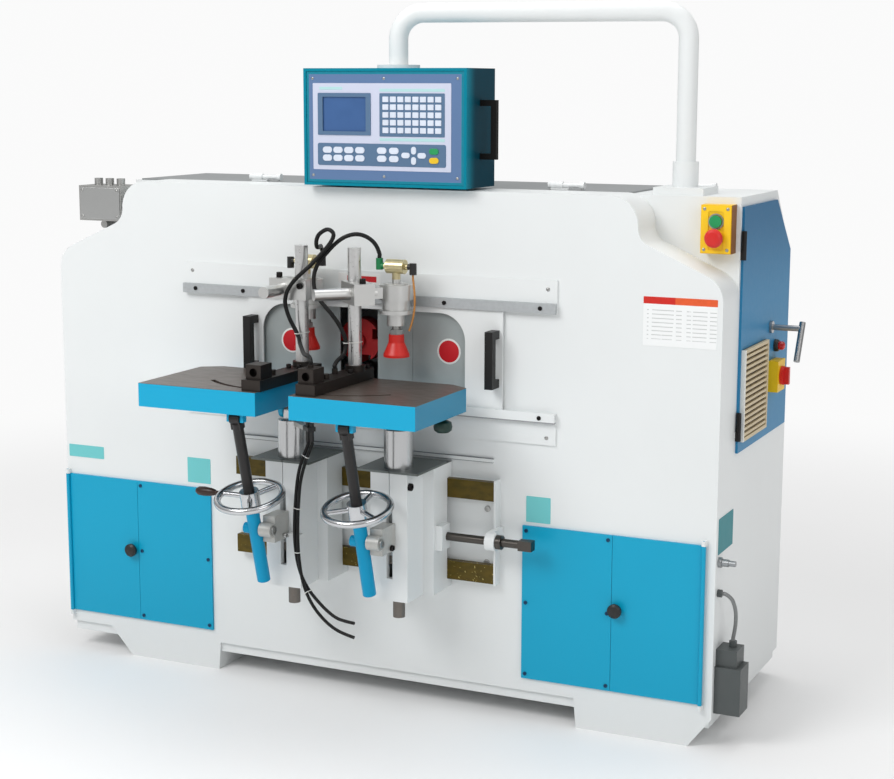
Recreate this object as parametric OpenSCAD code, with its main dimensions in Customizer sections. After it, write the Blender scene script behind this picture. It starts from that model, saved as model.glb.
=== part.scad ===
// Two-table tenoning machine: a sheet-metal casing with a cutter head behind a sliding guard,
// two tilting work tables on saddles, air hold-downs and a control box on a swinging arm.
// Millimetres, +Z up, front of the machine towards -Y, origin on the floor under the middle.

/* [Casing] */
// Width of the front casing
casing_w = 1800; // [1700:10:1900]
// Height of the casing's top edge above the floor
casing_top = 1270; // [1240:5:1320]
// Height of the casing's bottom edge above the floor
casing_bottom = 73; // [65:1:90]
// Depth of the front casing
casing_t = 123; // [115:1:140]
// Depth of the whole body, front face to back wall
body_d = 588; // [560:1:640]
// Thickness of the casing sheet
sheet = 4; // [3:0.5:5]
// Distance from the middle to the neck above each shoulder
neck_x = 698; // [680:1:720]
// Radius of the rounded top corner
brow_r = 68; // [50:1:80]
// Radius of the hollow under the top corner
hollow_r = 45; // [35:1:55]
// Slope of the shoulder in degrees
shoulder_slope = 24; // [20:1:28]
// Radius of the outer corner of the shoulder
hip_r = 65; // [50:1:80]
// Left end of the electrical column
column_x0 = 640; // [620:1:660]
// Thickness of the base plate
base_t = 25; // [20:1:40]

/* [Front panels] */
// Lower edge of the blue panels
panel_z0 = 106; // [100:1:115]
// Upper edge of the blue panels
panel_z1 = 484; // [470:1:500]
// Thickness of the blue panels and doors
panel_t = 6; // [4:0.5:8]
// Width of each blue door
door_w = 220; // [200:1:235]
// Width of each fixed blue panel
fixed_w = 226; // [200:1:235]
// Diameter of a door knob
door_knob_d = 34; // [28:1:40]

/* [Guards] */
// Half the length of the guard rails
rail_half = 508; // [490:1:530]
// Lower edge of the upper guard rail
rail_top_z = 994; // [985:1:1010]
// Upper edge of the lower guard rail
rail_low_z = 760; // [740:1:770]
// Height of a rail's backing plate
rail_plate_h = 77; // [65:1:85]
// Height of a rail's grooved strip
rail_strip_h = 24; // [20:1:28]
// Thickness of a guard sheet
guard_t = 4; // [3:0.5:5]
// Half the width of the arched opening
arch_half = 277; // [260:1:290]
// Height of the arch's top above the floor
arch_z = 980; // [970:1:984]
// Radius of the arch's corners
arch_r = 65; // [50:1:80]
// Width of the left guard's stile beside the arch
left_stile = 41; // [38:1:60]
// Width of the right guard's stile beside the arch
right_stile = 97; // [60:1:98]

/* [Tables] */
// Width of a work table
table_w = 320; // [300:1:335]
// Depth of a work table
table_d = 300; // [280:1:310]
// Height of the table top above the floor
table_z = 820; // [815:1:840]
// Height of a table's side
table_h = 56; // [50:1:65]
// Thickness of a table's plate
table_plate = 22; // [18:1:26]
// Back edge of the tables, in front of the casing
table_back = 62; // [58:1:80]
// Inner edge of the left table, from the middle
left_table_x = -90; // [-110:1:-85]
// Inner edge of the right table, from the middle
right_table_x = -2; // [-10:1:10]
// Diameter of a lifting column
lift_d = 70; // [60:1:76]
// Distance of the columns in front of the casing
lift_y = 140; // [135:1:150]
// Left column, from the middle
left_lift_x = -121; // [-126:1:-116]
// Right column, from the middle
right_lift_x = 166; // [156:1:176]

/* [Saddles] */
// Width of a saddle's column block
block_w = 94; // [88:1:104]
// Front face of the column block, in front of the casing
block_front = 190; // [186:1:200]
// Width of a saddle's slide plate
slide_w = 168; // [150:1:180]
// Lower edge of a saddle
saddle_z0 = 314; // [300:1:325]
// Upper edge of a saddle
saddle_z1 = 622; // [610:1:640]
// Left end of the ways
way_x0 = -352; // [-390:1:-342]
// Right end of the ways
way_x1 = 362; // [350:1:400]
// Height of one way
way_h = 46; // [40:1:52]
// Front face of the ways, in front of the casing
way_front = 28; // [24:1:34]
// Diameter of the lead screw
screw_d = 20; // [16:1:24]

/* [Tilt struts] */
// Height of the strut's lower pivot
strut_z = 472; // [465:1:480]
// Distance of that pivot in front of the casing
strut_y = 265; // [262:1:270]
// Sideways distance from column to strut
strut_off = 33; // [31:1:36]
// Diameter of the strut's tube
tube_d = 32; // [30:1:34]
// Diameter of the strut's rod
rod_d = 26; // [20:1:26]
// Diameter of the handwheel
wheel_d = 172; // [170:1:188]

/* [Hold-downs] */
// Width of a fence bar
fence_w = 50; // [44:1:54]
// Height of a fence bar
fence_h = 26; // [22:1:32]
// Diameter of a hold-down post
post_d = 32; // [28:1:36]
// Height of the post tops above the floor
post_top = 1138; // [1120:1:1160]
// Diameter of a hold-down arm
arm_d = 28; // [24:1:30]
// Height of the arms above the floor
arm_z = 1034; // [1030:1:1040]
// Outer diameter of an air cylinder
cyl_d = 66; // [60:1:70]
// Turn of the right arm from straight back, in degrees
right_arm_turn = 44; // [38:1:46]

/* [Control arm] */
// Width of the control box
pendant_w = 430; // [410:1:450]
// Height of the control box
pendant_h = 277; // [260:1:280]
// Depth of the control box
pendant_d = 162; // [140:1:170]
// Top of the control box above the floor
pendant_top = 1553; // [1550:1:1570]
// Diameter of the arm tube
boom_d = 46; // [42:1:50]
// Height of the arm's level run
boom_z = 1682; // [1670:1:1720]
// Radius of the arm's bends
boom_bend = 62; // [50:1:75]

/* [Electrical cabinet] */
// Lower edge of the cabinet door
cab_z0 = 675; // [660:1:690]
// Upper edge of the cabinet door
cab_z1 = 1244; // [1230:1:1250]
// Front edge of the cabinet door
cab_y0 = 133; // [130:1:140]
// Back edge of the cabinet door
cab_y1 = 564; // [545:1:575]
// Reach of the door lever from the door
lever_reach = 84; // [70:1:90]

/* [Hidden] */
$fn = 64;

// Running clearance of a shaft in its bore, on the radius, and the gap between parts that pass
run = 0.05;
gap = 0.5;

half_w = casing_w/2;
top_z = casing_top - sheet;
wall_in = casing_t - sheet;

// Shoulder outline: brow arc, neck, hollow arc, slope, hip arc
neck_z = casing_top - brow_r - 2;
hip_x = half_w - hip_r;
hollow_x = neck_x + hollow_r;
slope_x0 = hollow_x - hollow_r*sin(shoulder_slope);
slope_z0 = neck_z - hollow_r*cos(shoulder_slope);
slope_x1 = hip_x + hip_r*sin(shoulder_slope);
slope_z1 = slope_z0 - (slope_x1 - slope_x0)*tan(shoulder_slope);
hip_z = slope_z1 - hip_r*cos(shoulder_slope);

// Points of an arc about (x, z), from angle a0 to a1
function arc(x, z, r, a0, a1, n = 14) =
    [for (i = [0:n]) [x + r*cos(a0 + (a1 - a0)*i/n), z + r*sin(a0 + (a1 - a0)*i/n)]];

// Right half of the casing outline, drawn in by an inset
function half_outline(e) = concat(
    arc(neck_x - brow_r, casing_top - brow_r, brow_r - e, 90, 0),
    arc(hollow_x, neck_z, hollow_r + e, 180, 270 - shoulder_slope),
    arc(hip_x, hip_z, hip_r - e, 90 - shoulder_slope, 0),
    [[half_w - e, casing_bottom + e]]);
function mirrored(points) = [for (i = [len(points) - 1:-1:0]) [-points[i][0], points[i][1]]];
function casing_outline(e) = concat(half_outline(e), mirrored(half_outline(e)));

// Box of the object, which sets the origin under its middle
pivot_y = table_back + table_d - 22;
strut_top_z = table_z - table_h - 12;
wheel_tilt = atan2(pivot_y - strut_y, strut_top_z - strut_z);
wheel_up = 86;
wheel_rim_d = 17;
wheel_ring_r = (wheel_d - wheel_rim_d)/2;
front_y = -strut_y - wheel_up*sin(wheel_tilt) - wheel_ring_r*cos(wheel_tilt) - wheel_rim_d/2;
outlet_d = 125;
outlet_l = 80;
lever_bar_d = 15;
panel_out = half_w + panel_t;
right_x = panel_out + lever_reach;
origin_x = (right_x - half_w)/2;
origin_y = (front_y + body_d + outlet_l)/2;

module place() translate([-origin_x, -origin_y, 0]) children();
module block(lo, hi) translate(lo) cube(hi - lo);
module rod_x(at, d, l) translate(at) rotate([0, 90, 0]) cylinder(d = d, h = l);
module rod_y(at, d, l) translate(at) rotate([-90, 0, 0]) cylinder(d = d, h = l);
module rod_z(at, d, l) translate(at) cylinder(d = d, h = l);
// A profile in X and Z, carried from y0 to y1
module slab(y0, y1) translate([0, y1, 0]) rotate([90, 0, 0]) linear_extrude(y1 - y0) children();
// A profile in Y and Z, carried from x0 to x1
module bar(x0, x1) translate([x0, 0, 0]) rotate([90, 0, 90]) linear_extrude(x1 - x0) children();

// Base: plate, four feet and the inner pedestal that carries the cutter head
foot_l = 150;
left_foot = [[-772, casing_bottom], [-706, 0], [-433, 0], [-427, casing_bottom]];
right_foot = [[560, casing_bottom], [567, 0], [844, 0], [half_w, casing_bottom]];
base_in = 8;
ped_x = 520;
ped_y0 = 300;
ped_y1 = 430;
ped_z = 660;
ped_wall = 8;
ped_room = 12;
base_z0 = casing_bottom - base_t;
module base_frame() place() color("gainsboro") {
    difference() {
        union() {
            block([base_in - half_w, base_in, base_z0], [half_w - base_in, body_d - base_in, casing_bottom]);
            for (y = [0, body_d - foot_l]) {
                slab(y, y + foot_l) polygon(left_foot);
                slab(y, y + foot_l) polygon(right_foot);
            }
            block([-ped_x, ped_y0, base_z0], [ped_x, ped_y1, ped_z]);
        }
        block([ped_wall - ped_x, ped_y0 + ped_wall, casing_bottom],
            [ped_x - ped_wall, ped_y1 - ped_wall, ped_z - ped_wall]);
    }
}

// Front casing: a folded shell, open at the back, with the tool window and two door openings
window_half = arch_half + 23;
window_z0 = rail_low_z + 6;
window_z1 = rail_top_z - 4;
door_margin = 14;
left_door_x = 7 - half_w;
right_door_x = half_w - 26;
module casing_shape(e) polygon(casing_outline(e));
module door_hole(x) block([x, -1, panel_z0 + door_margin],
    [x + door_w - 2*door_margin, sheet + 1, panel_z1 - door_margin]);
module front_casing() place() color("whitesmoke") {
    difference() {
        slab(0, casing_t) casing_shape(0);
        slab(sheet, casing_t + 1) casing_shape(sheet);
        block([-window_half, -1, window_z0], [window_half, sheet + 1, window_z1]);
        door_hole(left_door_x + door_margin);
        door_hole(right_door_x - door_w + door_margin);
    }
    for (x = [left_door_x, right_door_x]) {
        hinge_ear(x, panel_z1 + gap);
        hinge_ear(x, panel_z0 - ear_h - gap);
    }
}
// Ear that holds a door's hinge pin
pin_d = 6;
ear_h = 12;
pin_y = -panel_t - 3;
module hinge_ear(x, z) difference() {
    union() {
        rod_z([x, pin_y, z], 12, ear_h);
        block([x - 6, pin_y, z], [x + 6, 0, z + ear_h]);
    }
    rod_z([x, pin_y, z - 1], pin_d + 2*run, ear_h + 2);
}

// Rear housing behind the casing, with a sloping back edge and a lower left wing
house_x0 = -740;
wing_z = hip_z - 20;
slope_y = 148;
slope_z = 140;
house_z0 = casing_bottom;
function side_outline(e, y0 = casing_t) = [[y0, house_z0 + e], [body_d - e, house_z0 + e],
    [body_d - e, top_z - slope_z - 66], [body_d - 28 - e*0.9, top_z - slope_z],
    [body_d - slope_y - e*0.4, top_z - e], [y0, top_z - e]];
notch_z = 1040;
notch_x = 20 - neck_x;
module rear_housing() place() color("whitesmoke") {
    housing_shell();
    block([house_x0, casing_t, notch_z], [notch_x, casing_t + sheet, top_z]);
}
module housing_shell() difference() {
    union() {
        bar(house_x0, column_x0) polygon(side_outline(0));
        block([sheet - half_w, casing_t, house_z0], [house_x0, body_d, wing_z]);
    }
    bar(house_x0 + sheet, column_x0 - sheet) polygon(side_outline(sheet, casing_t - 1));
    block([2*sheet - half_w, casing_t - 1, house_z0 + sheet],
        [house_x0 + 2*sheet, body_d - sheet, wing_z - sheet]);
    block([-ped_x - ped_room, ped_y0 - ped_room, house_z0 - 1],
        [ped_x + ped_room, ped_y1 + ped_room, house_z0 + sheet + 1]);
    block([house_x0 + 60, casing_t + 20, top_z - sheet - 1],
        [column_x0 - 60, body_d - slope_y - 30, top_z + 1]);
    rod_y([0, body_d - sheet - 1, outlet_z], outlet_d - 2*sheet, sheet + 2);
}
outlet_z = 420;

// Electrical column with its door opening, arm socket and shelf
cab_margin = 12;
socket_x = 748;
socket_y = 185;
socket_d = 60;
socket_top = 1335;
plinth = 60;
plinth_h = 17;
function cab_outline(e) = [[cab_y0 + e, cab_z0 + e], [cab_y1 - e, cab_z0 + e],
    [cab_y1 - e, cab_z1 - 130], [cab_y1 - 140 + e*0.5, cab_z1 - e], [cab_y0 + e, cab_z1 - e]];
shelf_z = cab_z0 - 20;
module electrical_column() place() color("whitesmoke") {
    column_shell();
    cab_ears();
}
module column_shell() difference() {
    union() {
        bar(column_x0, half_w) polygon(side_outline(0));
        block([socket_x - plinth, socket_y - 55, top_z],
            [socket_x + plinth, socket_y + 65, top_z + plinth_h]);
        rod_z([socket_x, socket_y, top_z], socket_d, socket_top - top_z);
    }
    difference() {
        bar(column_x0 + sheet, half_w - sheet) polygon(side_outline(sheet, casing_t - 1));
        block([column_x0, casing_t - 2, shelf_z], [half_w, body_d, shelf_z + sheet]);
        block([column_x0, casing_t - 2, shelf_z], [half_w, casing_t + sheet, casing_top]);
        rod_z([socket_x, socket_y, top_z - 60], socket_d, 60);
    }
    bar(half_w - sheet - 1, half_w + 1) polygon(cab_outline(cab_margin));
    rod_z([socket_x, socket_y, top_z - 45], boom_d + 2*run, socket_top);
}

// Mounting plate in the cabinet with drive, contactors and terminals
gear_x = column_x0 + sheet;
module control_gear() place() color("lightgray") {
    plate_y0 = cab_y0 + 30;
    plate_y1 = cab_y1 - 40;
    block([gear_x, plate_y0, cab_z0 + 20], [gear_x + 3, plate_y1, cab_z1 - 160]);
    block([gear_x + 3, plate_y0 + 20, cab_z0 + 190], [gear_x + 123, plate_y0 + 150, cab_z0 + 390]);
    block([gear_x + 3, plate_y0 + 180, cab_z0 + 190], [gear_x + 103, plate_y0 + 300, cab_z0 + 350]);
    for (i = [0:4])
        block([gear_x + 3, plate_y0 + 20 + 60*i, cab_z0 + 90],
            [gear_x + 83, plate_y0 + 65 + 60*i, cab_z0 + 165]);
    block([gear_x + 3, plate_y0 + 20, cab_z0 + 40], [gear_x + 48, plate_y0 + 330, cab_z0 + 70]);
}

// Sheet cover over the top opening
module top_cover() place() color("whitesmoke") {
    latches();
    block([house_x0 + 20, casing_t, top_z], [column_x0 - 10, body_d - slope_y - 6, casing_top]);
}

// Lift-off grips on the top covers: a bracket, a white grip and a steel stem
latch_l = 45;
latch_at = [[-395, 150, casing_top], [430, 150, casing_top], [700, 320, top_z]];
module latches() for (p = latch_at) translate(p) {
    block([0, -9, 0], [latch_l, 9, 4]);
    rod_x([-8, 0, 11], 16, latch_l - 8);
    rod_x([latch_l - 16, 0, 11], 11, 44);
    rod_x([latch_l + 28, 0, 11], 18, 10);
}

// Fixed blue panels beside the doors
seam = 1;
left_fixed_x = left_door_x + door_w + seam;
right_fixed_x = right_door_x - door_w - seam - fixed_w;
module fixed_panels() place() color("deepskyblue") for (x = [left_fixed_x, right_fixed_x])
    block([x, -panel_t, panel_z0], [x + fixed_w, 0, panel_z1]);

// Guard rails: a backing plate and a grooved strip that the guards run in
strip_t = 16;
groove_y0 = -5 - guard_t - 2*gap;
groove_deep = 14;
rail_back = 5;
module rail(z_strip, z_plate, z_groove) difference() {
    union() {
        block([-rail_half, -strip_t, z_strip], [rail_half, 0, z_strip + rail_strip_h]);
        block([-rail_half, -rail_back, z_plate], [rail_half, 0, z_plate + rail_plate_h - rail_strip_h]);
    }
    block([-rail_half - 1, groove_y0, z_groove], [rail_half + 1, -rail_back, z_groove + groove_deep + 1]);
}
module guard_rails() place() color("gainsboro") {
    rail(rail_top_z, rail_top_z + rail_strip_h, rail_top_z - 1);
    rail(rail_low_z - rail_strip_h, rail_low_z - rail_plate_h, rail_low_z - groove_deep);
}

// Grey shields behind the window, with the gap that the work reaches through
shield_t = 3;
shield_lap = 12;
gap_x0 = -66;
gap_x1 = 38;
seam_x = 132;
module inner_shields() place() color("darkgray") for (x = [[-window_half - shield_lap, gap_x0],
    [gap_x1, seam_x], [seam_x + seam, window_half + shield_lap]])
    block([x[0], sheet, window_z0 - shield_lap], [x[1], sheet + shield_t, window_z1 + shield_lap]);

// Way plate with its end plate and screw bearing, and the two ways
way_pad = 10;
end_t = 5;
way_z = [saddle_z0 + 22, saddle_z1 - 83];
screw_y = -64;
screw_z = 452;
screw_end = way_x1 + 116;
bearing_t = 14;
module way_plate() place() color("whitesmoke") difference() {
    union() {
        block([way_x0, -way_pad, way_z[0]], [way_x1, 0, way_z[1] + way_h]);
        block([way_x1, -way_front, way_z[0] - 4], [way_x1 + end_t, 0, way_z[1] + way_h + 4]);
        block([way_x1, screw_y, screw_z - screw_d/2 - 12], [way_x1 + bearing_t, 0, screw_z + screw_d/2 + 12]);
        rod_x([way_x1, screw_y, screw_z], screw_d + 24, bearing_t + 10);
    }
    rod_x([way_x1 - 1, screw_y, screw_z], screw_d + 2*run, 60);
}
module slide_ways() place() color("saddlebrown") for (z = way_z)
    block([way_x0, -way_front, z], [way_x1, -way_pad, z + way_h]);

// Sensor and valve box in the left notch, with cable glands on its left side and top
jbox = [-855, 30, 1162];
jbox_size = [132, casing_t - 30, 91];
module junction_box() place() color("silver") {
    translate(jbox) cube(jbox_size);
    for (z = [28, 62]) rod_x([jbox[0] - 22, jbox[1] + 40, jbox[2] + z], 20, 22);
    for (x = [35, 70, 105]) rod_z([jbox[0] + x, jbox[1] + 40, jbox[2] + jbox_size[2]], 22, 18);
    rod_y([jbox[0] + 62, jbox[1] + 20, jbox[2] - 10], 20, 60);
}

// Yellow two-button box on the column's front, in the right notch
box_lo = [818, 84, 1140];
box_hi = [890, casing_t, 1250];
start_at = [854, box_lo[1], 1213];
stop_at = [854, box_lo[1], 1176];
stem_d = 22;
stem_l = 34;
module button_box() place() color("gold") difference() {
    block(box_lo, box_hi);
    block(box_lo + [4, 5, 4], box_hi - [4, 4, 4]);
    for (p = [start_at, stop_at]) rod_y(p - [0, 1, 0], stem_d + 2*run, 8);
}
press_start = 4;
press_stop = 6;
module start_button() place() color("seagreen") {
    rod_y(start_at - [0, press_start + 5, 0], 28, 5 - gap);
    rod_y(start_at - [0, press_start + gap, 0], stem_d, stem_l);
}
module stop_button() place() color("red") {
    translate(stop_at - [0, press_stop + 22, 0]) rotate([-90, 0, 0]) rotate_extrude()
        polygon([[0, 0], [14, 1], [19, 4], [21.5, 9], [20, 14], [13, 18], [13, 22], [0, 22]]);
    rod_y(stop_at - [0, press_stop, 0], stem_d, stem_l);
}

// Storage boxes behind the two doors
box_t = 2;
box_deep = wall_in - 12;
module tool_box(x) difference() {
    block([x, sheet, panel_z0 + door_margin - 6],
        [x + door_w - 2*door_margin + 12, box_deep, panel_z1 - door_margin + 6]);
    block([x + 6, sheet - 1, panel_z0 + door_margin],
        [x + door_w - 2*door_margin + 6, box_deep - box_t, panel_z1 - door_margin]);
}
module tool_boxes() place() color("lightgray") {
    tool_box(left_door_x + door_margin - 6);
    tool_box(right_door_x - door_w + door_margin - 6);
}

// Cross rails of the cutter head on the pedestal, with the servo motor at the right end
rail_y = [ped_y0 + 22, ped_y1 - 22];
xrail_w = 20;
xrail_h = 22;
xrail_half = 440;
module cross_rails() place() color("silver") {
    for (y = rail_y) block([-xrail_half, y - xrail_w/2, ped_z], [xrail_half, y + xrail_w/2, ped_z + xrail_h]);
    block([xrail_half + 10, ped_y0 + 20, ped_z], [ped_x - 8, ped_y1 - 20, ped_z + 90]);
}

// Hand oil pump and reservoir low on the right side, and its braided hose
pump_lo = [half_w, 14, 84];
pump_hi = [half_w + 62, 112, 236];
module oil_pump() place() color("dimgray") {
    block(pump_lo, pump_hi - [0, 30, 40]);
    block([half_w, pump_lo[1] + 8, pump_hi[2] - 40], [half_w + 50, pump_hi[1] - 30, pump_hi[2]]);
    rod_y([half_w + 31, pump_hi[1] - 30, pump_lo[2] + 55], 44, 34);
    rod_z([half_w + 30, pump_lo[1] + 44, pump_hi[2]], 18, 14);
    rod_x([half_w, 24, 369], 18, 10);
}
hose_oil = [[910, 24, 369], [914, 24, 369], [918, 24, 369], [932, 29, 357], [938, 40, 330], [937, 50, 300],
    [933, 57, 274], [930, 58, 258], [930, 58, 254], [930, 58, 250]];
module oil_hose() place() color("silver") sweep(hose_oil, 9, 8);

// Air inlet coupling on the casing's right side
module air_inlet() place() color("silver") {
    rod_x([half_w, 24, 442], 24, 8);
    rod_x([half_w + 8, 24, 442], 17, 16);
    rod_x([half_w + 24, 24, 442], 13, 16);
}

// Dust outlet spigot on the back wall
module dust_outlet() place() color("gainsboro") difference() {
    union() {
        rod_y([0, body_d, outlet_z], outlet_d, outlet_l);
        rod_y([0, body_d, outlet_z], outlet_d + 40, 4);
    }
    rod_y([0, body_d - 1, outlet_z], outlet_d - 2*sheet, outlet_l + 2);
}

// Tube of a hose: rings of n sides swept along its points
function unit(v) = v/norm(v);
function along(p, i) = unit(p[min(i + 1, len(p) - 1)] - p[max(i - 1, 0)]);
function side_of(t) = unit(cross(t, abs(t[2]) < 0.8 ? [0, 0, 1] : [1, 0.2, 0]));
// Carry the sideways direction from ring to ring so that the tube doesn't twist
function carry(p, i) = i == 0 ? side_of(along(p, 0))
    : let (s = carry(p, i - 1), t = along(p, i)) unit(s - t*(s*t));
// Points halfway between, on a smooth curve through the route
function mid(a, b, c, d) = (9*(b + c) - a - d)/16;
function smooth(p) = [for (i = [0:len(p) - 1]) each i == len(p) - 1 ? [p[i]]
    : [p[i], mid(p[max(i - 1, 0)], p[i], p[i + 1], p[min(i + 2, len(p) - 1)])]];
module sweep(route, d, n) {
    p = smooth(route);
    m = len(p);
    rings = [for (i = [0:m - 1]) let (t = along(p, i), s = carry(p, i), u = cross(t, s))
        each [for (k = [0:n - 1]) p[i] + (s*cos(360*k/n) + u*sin(360*k/n))*d/2]];
    sides = [for (i = [0:m - 2]) each [for (k = [0:n - 1]) each
        [[i*n + k, i*n + (k + 1)%n, (i + 1)*n + k],
            [i*n + (k + 1)%n, (i + 1)*n + (k + 1)%n, (i + 1)*n + k]]]];
    ends = concat([for (k = [1:n - 2]) [0, k + 1, k]],
        [for (k = [1:n - 2]) [(m - 1)*n, (m - 1)*n + k, (m - 1)*n + k + 1]]);
    polyhedron(rings, concat(sides, ends));
}

// Hinged blue doors with their pins and turn knobs
knob_in = 12;
knob_z = (panel_z0 + panel_z1)/2;
left_knob = [left_door_x + door_w - knob_in - 4, -panel_t, knob_z + 2];
right_knob = [right_door_x - door_w + knob_in, -panel_t, knob_z + 12];
shank_d = 8;
module door(x0, hinge_x, knob) difference() {
    union() {
        block([x0, -panel_t, panel_z0], [x0 + door_w, 0, panel_z1]);
        rod_z([hinge_x, pin_y, panel_z0], 10, panel_z1 - panel_z0);
        rod_z([hinge_x, pin_y, panel_z0 - ear_h], pin_d, panel_z1 - panel_z0 + 2*ear_h);
    }
    rod_y(knob - [0, 1, 0], shank_d + 2*run, panel_t + 2);
}
module door_knob(at) {
    translate(at - [0, gap, 0]) rotate([90, 0, 0]) rotate_extrude()
        polygon([[0, 0], [9, 0], [9, 6], [door_knob_d/2, 10], [door_knob_d/2, 17], [12, 21], [0, 22]]);
    rod_y(at - [0, gap, 0], shank_d, panel_t + gap - 0.2);
}
module left_door() place() color("deepskyblue") door(left_door_x, left_door_x, left_knob);
module right_door() place() color("deepskyblue") door(right_door_x - door_w, right_door_x, right_knob);
module left_door_knob() place() color("black") door_knob(left_knob);
module right_door_knob() place() color("black") door_knob(right_knob);

// Cabinet door with its hinge barrel, louvred vent, isolator and lever
cab_pin_x = panel_out + 3;
cab_pin_y = cab_y0 - 6;
cab_hinge_z = [cab_z0 + 50, cab_z1 - 100];
barrel_h = 46;
barrel_ear = 20;
// Ears with the hinge pins, on the column's side under each barrel of the door
module cab_ears() for (z = cab_hinge_z) {
    rod_z([cab_pin_x, cab_pin_y, z - barrel_ear], 10, barrel_ear);
    block([half_w - sheet, cab_pin_y - 3.5, z - barrel_ear], [cab_pin_x, cab_pin_y + 5, z]);
    rod_z([cab_pin_x, cab_pin_y, z - barrel_ear], pin_d, barrel_ear + barrel_h - 4);
}
lever_at = [panel_out, 392, 939];
iso_at = [panel_out, 420, 818];
iso_size = [24, 66, 76];
module cabinet_door() place() color("steelblue") difference() {
    union() {
        bar(half_w, panel_out) polygon(cab_outline(0));
        for (z = cab_hinge_z) {
            rod_z([cab_pin_x, cab_pin_y, z], 10, barrel_h);
            block([half_w + 2, cab_pin_y, z], [cab_pin_x, cab_y0 + 1, z + barrel_h]);
        }
    }
    rod_x(lever_at - [panel_t + 1, 0, 0], 14 + 2*run, panel_t + 2);
    for (z = cab_hinge_z) rod_z([cab_pin_x, cab_pin_y, z - 1], pin_d + 2*run, barrel_h + 2);
}
vent_y0 = cab_y0 + 8;
vent_w = 208;
vent_z0 = cab_z0 + 26;
vent_h = 214;
vent_t = 10;
module cabinet_vent() place() color("tan") {
    difference() {
        block([panel_out, vent_y0, vent_z0], [panel_out + vent_t, vent_y0 + vent_w, vent_z0 + vent_h]);
        block([panel_out + 2, vent_y0 + 8, vent_z0 + 8],
            [panel_out + vent_t + 1, vent_y0 + vent_w - 8, vent_z0 + vent_h - 8]);
    }
    for (z = [vent_z0 + 12:13:vent_z0 + vent_h - 18])
        block([panel_out + 2, vent_y0 + 8, z], [panel_out + vent_t - 1, vent_y0 + vent_w - 8, z + 6]);
}
module isolator_box() place() color("gold") difference() {
    translate(iso_at - [0, iso_size[1]/2, iso_size[2]/2]) cube(iso_size);
    rod_x(iso_at + [iso_size[0] - 8, 0, 0], 10 + 2*run, 9);
}
module isolator_knob() place() color("red") {
    rod_x(iso_at + [iso_size[0] + gap, 0, 0], 46, 8);
    block(iso_at + [iso_size[0] + gap, -6, -21], iso_at + [iso_size[0] + 20, 6, 21]);
    rod_x(iso_at + [iso_size[0] - 7, 0, 0], 10, 10);
}
lever_up = 16;
lever_down = 84;
lever_lean = 28;
module cabinet_lever() place() color("silver") {
    rod_x(lever_at - [panel_t - 0.2, 0, 0], 14, panel_t + lever_reach - lever_bar_d/2);
    rod_x(lever_at + [gap, 0, 0], 30, 6);
    translate(lever_at + [lever_reach - lever_bar_d/2, 0, 0]) rotate([-lever_lean, 0, 0])
        translate([0, 0, -lever_down]) cylinder(d = lever_bar_d, h = lever_down + lever_up);
}

// Swinging arm: shank in the socket, two bends and a flange over the control box
pend_x = 75;
pend_y = 47;
boom_l = norm([socket_x - pend_x, socket_y - pend_y]);
boom_turn = atan2(pend_y - socket_y, pend_x - socket_x);
flange_d = 102;
flange_t = 8;
module bend(at, turn) translate(at) rotate([90, 0, 0]) rotate([0, 0, turn])
    rotate_extrude(angle = 90) translate([boom_bend, 0]) circle(d = boom_d);
module swing_arm() place() color("whitesmoke") {
    translate([socket_x, socket_y, 0]) rotate([0, 0, boom_turn]) {
        translate([0, 0, top_z - 44]) cylinder(d = boom_d, h = boom_z - boom_bend - top_z + 44);
        translate([0, 0, socket_top + run]) cylinder(d = socket_d, h = 6);
        bend([boom_bend, 0, boom_z - boom_bend], 90);
        rod_x([boom_bend, 0, boom_z], boom_d, boom_l - 2*boom_bend);
        bend([boom_l - boom_bend, 0, boom_z - boom_bend], 0);
        translate([boom_l, 0, pendant_top + flange_t])
            cylinder(d = boom_d, h = boom_z - boom_bend - pendant_top - flange_t);
        translate([boom_l, 0, pendant_top + run]) cylinder(d = flange_d, h = flange_t);
    }
}

// Control box on the arm: a folded case, its front panel and a side handle
pend_lo = [pend_x - pendant_w/2, pend_y - pendant_d/2, pendant_top - pendant_h];
pend_hi = [pend_x + pendant_w/2, pend_y + pendant_d/2, pendant_top];
rim = 7;
ledge = 17;
wall = 3;
face_in = 6;
grip_d = 14;
grip_out = 42;
grip_z0 = pend_lo[2] + 66;
grip_z1 = pend_lo[2] + 204;
module bow(x, y, z0, z1, out, d) {
    for (z = [z0, z1 - d]) block([x, y - d/2, z], [x + out, y + d/2, z + d]);
    block([x + out - d, y - d/2, z0], [x + out, y + d/2, z1]);
}
module control_box() place() color("darkcyan") {
    difference() {
        block(pend_lo, pend_hi);
        block(pend_lo + [rim, -1, rim], [pend_hi[0] - rim, pend_lo[1] + face_in, pend_hi[2] - rim]);
        block(pend_lo + [wall, face_in + wall, wall], pend_hi - [wall, wall, wall]);
        block(pend_lo + [ledge, 0, ledge],
            [pend_hi[0] - ledge, pend_lo[1] + face_in + wall + 1, pend_hi[2] - ledge]);
    }
    bow(pend_hi[0], pend_y, grip_z0, grip_z1, grip_out, grip_d);
}
// Front panel with the screen frame and the raised key fields
face_y = pend_lo[1] + face_in;
face_t = 4;
screen_lo = [pend_lo[0] + 50, face_y - face_t, pend_lo[2] + 127];
screen_size = [120, 2, 85];
module control_face() place() color("slategray") {
    lo = pend_lo + [rim + gap, 0, rim + gap];
    hi = pend_hi - [rim + gap, 0, rim + gap];
    difference() {
        block([lo[0], face_y - face_t, lo[2]], [hi[0], face_y, hi[2]]);
        block(screen_lo + [0, -1, 0], screen_lo + screen_size);
    }
    block([lo[0] + 30, face_y, lo[2] + 30], [hi[0] - 30, face_y + 28, hi[2] - 30]);
}

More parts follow.
